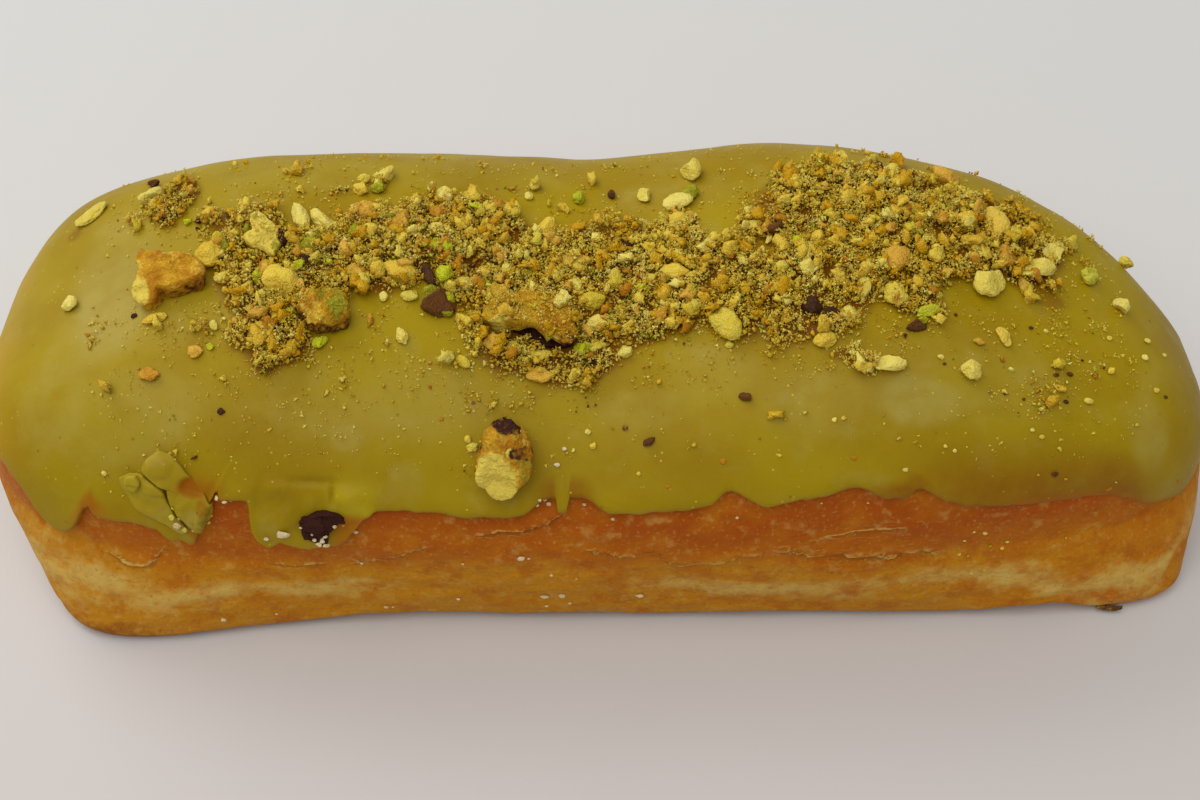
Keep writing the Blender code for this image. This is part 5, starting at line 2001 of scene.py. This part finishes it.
    def build(self) -> None:
        """Lays the crumbs that stand out, then strews the rest round them."""
        self.place_bits()
        self.strew("dust", self.dust, *chip())
        self.strew("grit", self.fine, *ball(1))
        self.strew("crumbs", self.middle, *ball(2))
        self.strew("flakes", self.finest, *flake())


def standing(normal: Array, turn: Array) -> Array:
    """Turns that stand pieces on a surface, as matrices with the normal as their third column.

    Args:
        normal: The surface's normals.
        turn: How far each piece is then turned about its normal.

    Returns:
        An array of 3 by 3 matrices.
    """
    along = np.array([1.0, 0, 0]) - normal * normal[:, :1]
    along /= np.linalg.norm(along, axis=1, keepdims=True)
    across = np.cross(normal, along)
    first = along * np.cos(turn)[:, None] + across * np.sin(turn)[:, None]
    return np.stack([first, np.cross(normal, first), normal], axis=-1)


# ---------------------------------------------------------------- the setting


@dataclass(frozen=True)
class Setting:
    """The floor, the lights and the camera."""

    image_width: int = 1200
    focal_pixels: float = 2130.0
    camera_at: tuple[float, float, float] = (0.0, -184.7, 254.4)
    camera_aim: tuple[float, float, float] = (1.3, -4.3, 14.7)
    floor_half: float = 2.0
    # The floor is darker and warmer near the front: painted shade.
    floor_near_shaded: Colour = (0.60, 0.53, 0.51)
    floor_far: Colour = (0.66, 0.655, 0.64)
    sky_colour: Colour = (1.0, 0.99, 0.975)
    sky_strength: float = 0.36

    def build(self) -> None:
        """Makes the floor, the lights and the camera."""
        self.floor()
        self.light("window", (-0.75, 0.75, 0.85), 0.9, 7.8, (1.0, 0.98, 0.95))
        self.light("ceiling", (-0.25, -0.45, 1.4), 1.4, 12.4, (1.0, 0.985, 0.97))
        self.sky()
        self.camera()

    def floor(self) -> None:
        """A pale floor at the height that the bar lies at, darker and warmer towards the front as painted
        shade.
        """
        side = self.floor_half
        mesh = bpy.data.meshes.new("floor")
        corners = [(-side, -side, 0), (side, -side, 0), (side, side, 0), (-side, side, 0)]
        mesh.from_pydata(corners, [], [(0, 1, 2, 3)])
        obj = bpy.data.objects.new("floor", mesh)
        bpy.context.scene.collection.objects.link(obj)
        g = Graph("pale floor")
        back = Value(g, g.node("SeparateXYZ", {}, {0: g.place}).outputs["Y"]).step(-0.16, 0.06)
        colour = g.mix(back, self.floor_near_shaded, self.floor_far)
        mesh.materials.append(g.finish(Base_Color=colour, Roughness=0.7))

    def light(self, name: str, at: tuple[float, float, float], side: float, watts: float,
              colour: Colour) -> None:
        """A square soft light that faces the bar.

        Args:
            name: The light's name.
            at: Where it is, in metres.
            side: The length of its side, in metres.
            watts: Its power.
            colour: Its colour.
        """
        data = bpy.data.lights.new(name, "AREA")
        data.energy = watts
        data.size = side
        data.color = colour
        obj = bpy.data.objects.new(name, data)
        obj.location = at
        obj.rotation_euler = (-Vector(at)).to_track_quat("-Z", "Y").to_euler()
        bpy.context.scene.collection.objects.link(obj)

    def sky(self) -> None:
        """Even light from all round, and plain colour handling."""
        world = bpy.data.worlds.new("studio")
        world.use_nodes = True
        background = world.node_tree.nodes["Background"]
        background.inputs["Color"].default_value = (*self.sky_colour, 1.0)
        background.inputs["Strength"].default_value = self.sky_strength
        bpy.context.scene.world = world
        bpy.context.scene.view_settings.view_transform = "Standard"

    def camera(self) -> None:
        """A camera at the photograph's viewing angle."""
        at = Vector(place(np.array(self.camera_at)))
        aim = Vector(place(np.array(self.camera_aim)))
        data = bpy.data.cameras.new("camera")
        data.sensor_width = 36.0
        data.lens = data.sensor_width * self.focal_pixels / self.image_width
        data.clip_start = 0.01
        obj = bpy.data.objects.new("camera", data)
        obj.location = at
        obj.rotation_euler = (aim - at).to_track_quat("-Z", "Y").to_euler()
        bpy.context.scene.collection.objects.link(obj)
        bpy.context.scene.camera = obj


def nuts(ground: Ground) -> list[bpy.types.Object]:
    """Makes the five large pieces of nut in place of the plain ones."""
    kernel = KernelFinish().material()
    made = []
    for nut in NUTS:
        piece = nut.build(ground, kernel)
        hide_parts(nut.name)
        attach(piece, BODY)
        made.append(piece)
    return made


def shards(ground: Ground, icing: bpy.types.Object) -> list[bpy.types.Object]:
    """Makes the cracked slabs of icing at the front left, a dark piece of nut skin, and a dark sheet of skin
    and painted shadow under the half nut.
    """
    made = []
    for shard in SHARDS:
        piece = shard.build(ground, icing.data.materials[0])
        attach(piece, BODY)
        made.append(piece)
    for skin in SKIN_AND_SHADOW_SHEETS:
        piece = skin.build(ground, bpy.data.materials["pistachio kernel"])
        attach(piece, BODY)
        made.append(piece)
    return made


def main() -> None:
    """Builds the pieces in order and reports each."""
    logging.basicConfig(level=logging.INFO, format="%(message)s", stream=sys.stdout)
    shape = BarShape()
    cover = Cover()
    dough = Dough(shape).build()
    icing = Icing(shape).build(cover)
    for piece in (dough, icing):
        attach(piece, BODY)
        log.info("%s: %d faces", piece.name, len(piece.data.polygons))
    ground = Ground(icing, dough)
    lumps = nuts(ground) + shards(ground, icing)
    dusting = [slab.dusting for slab in NUTS + SHARDS + SKIN_AND_SHADOW_SHEETS]
    sticking = np.array([Crumbs.everywhere, Crumbs.everywhere] + dusting)
    Crumbs(Ground(icing, dough, *lumps), cover, sticking).build()
    Setting().build()


if __name__ == "__main__":
    main()
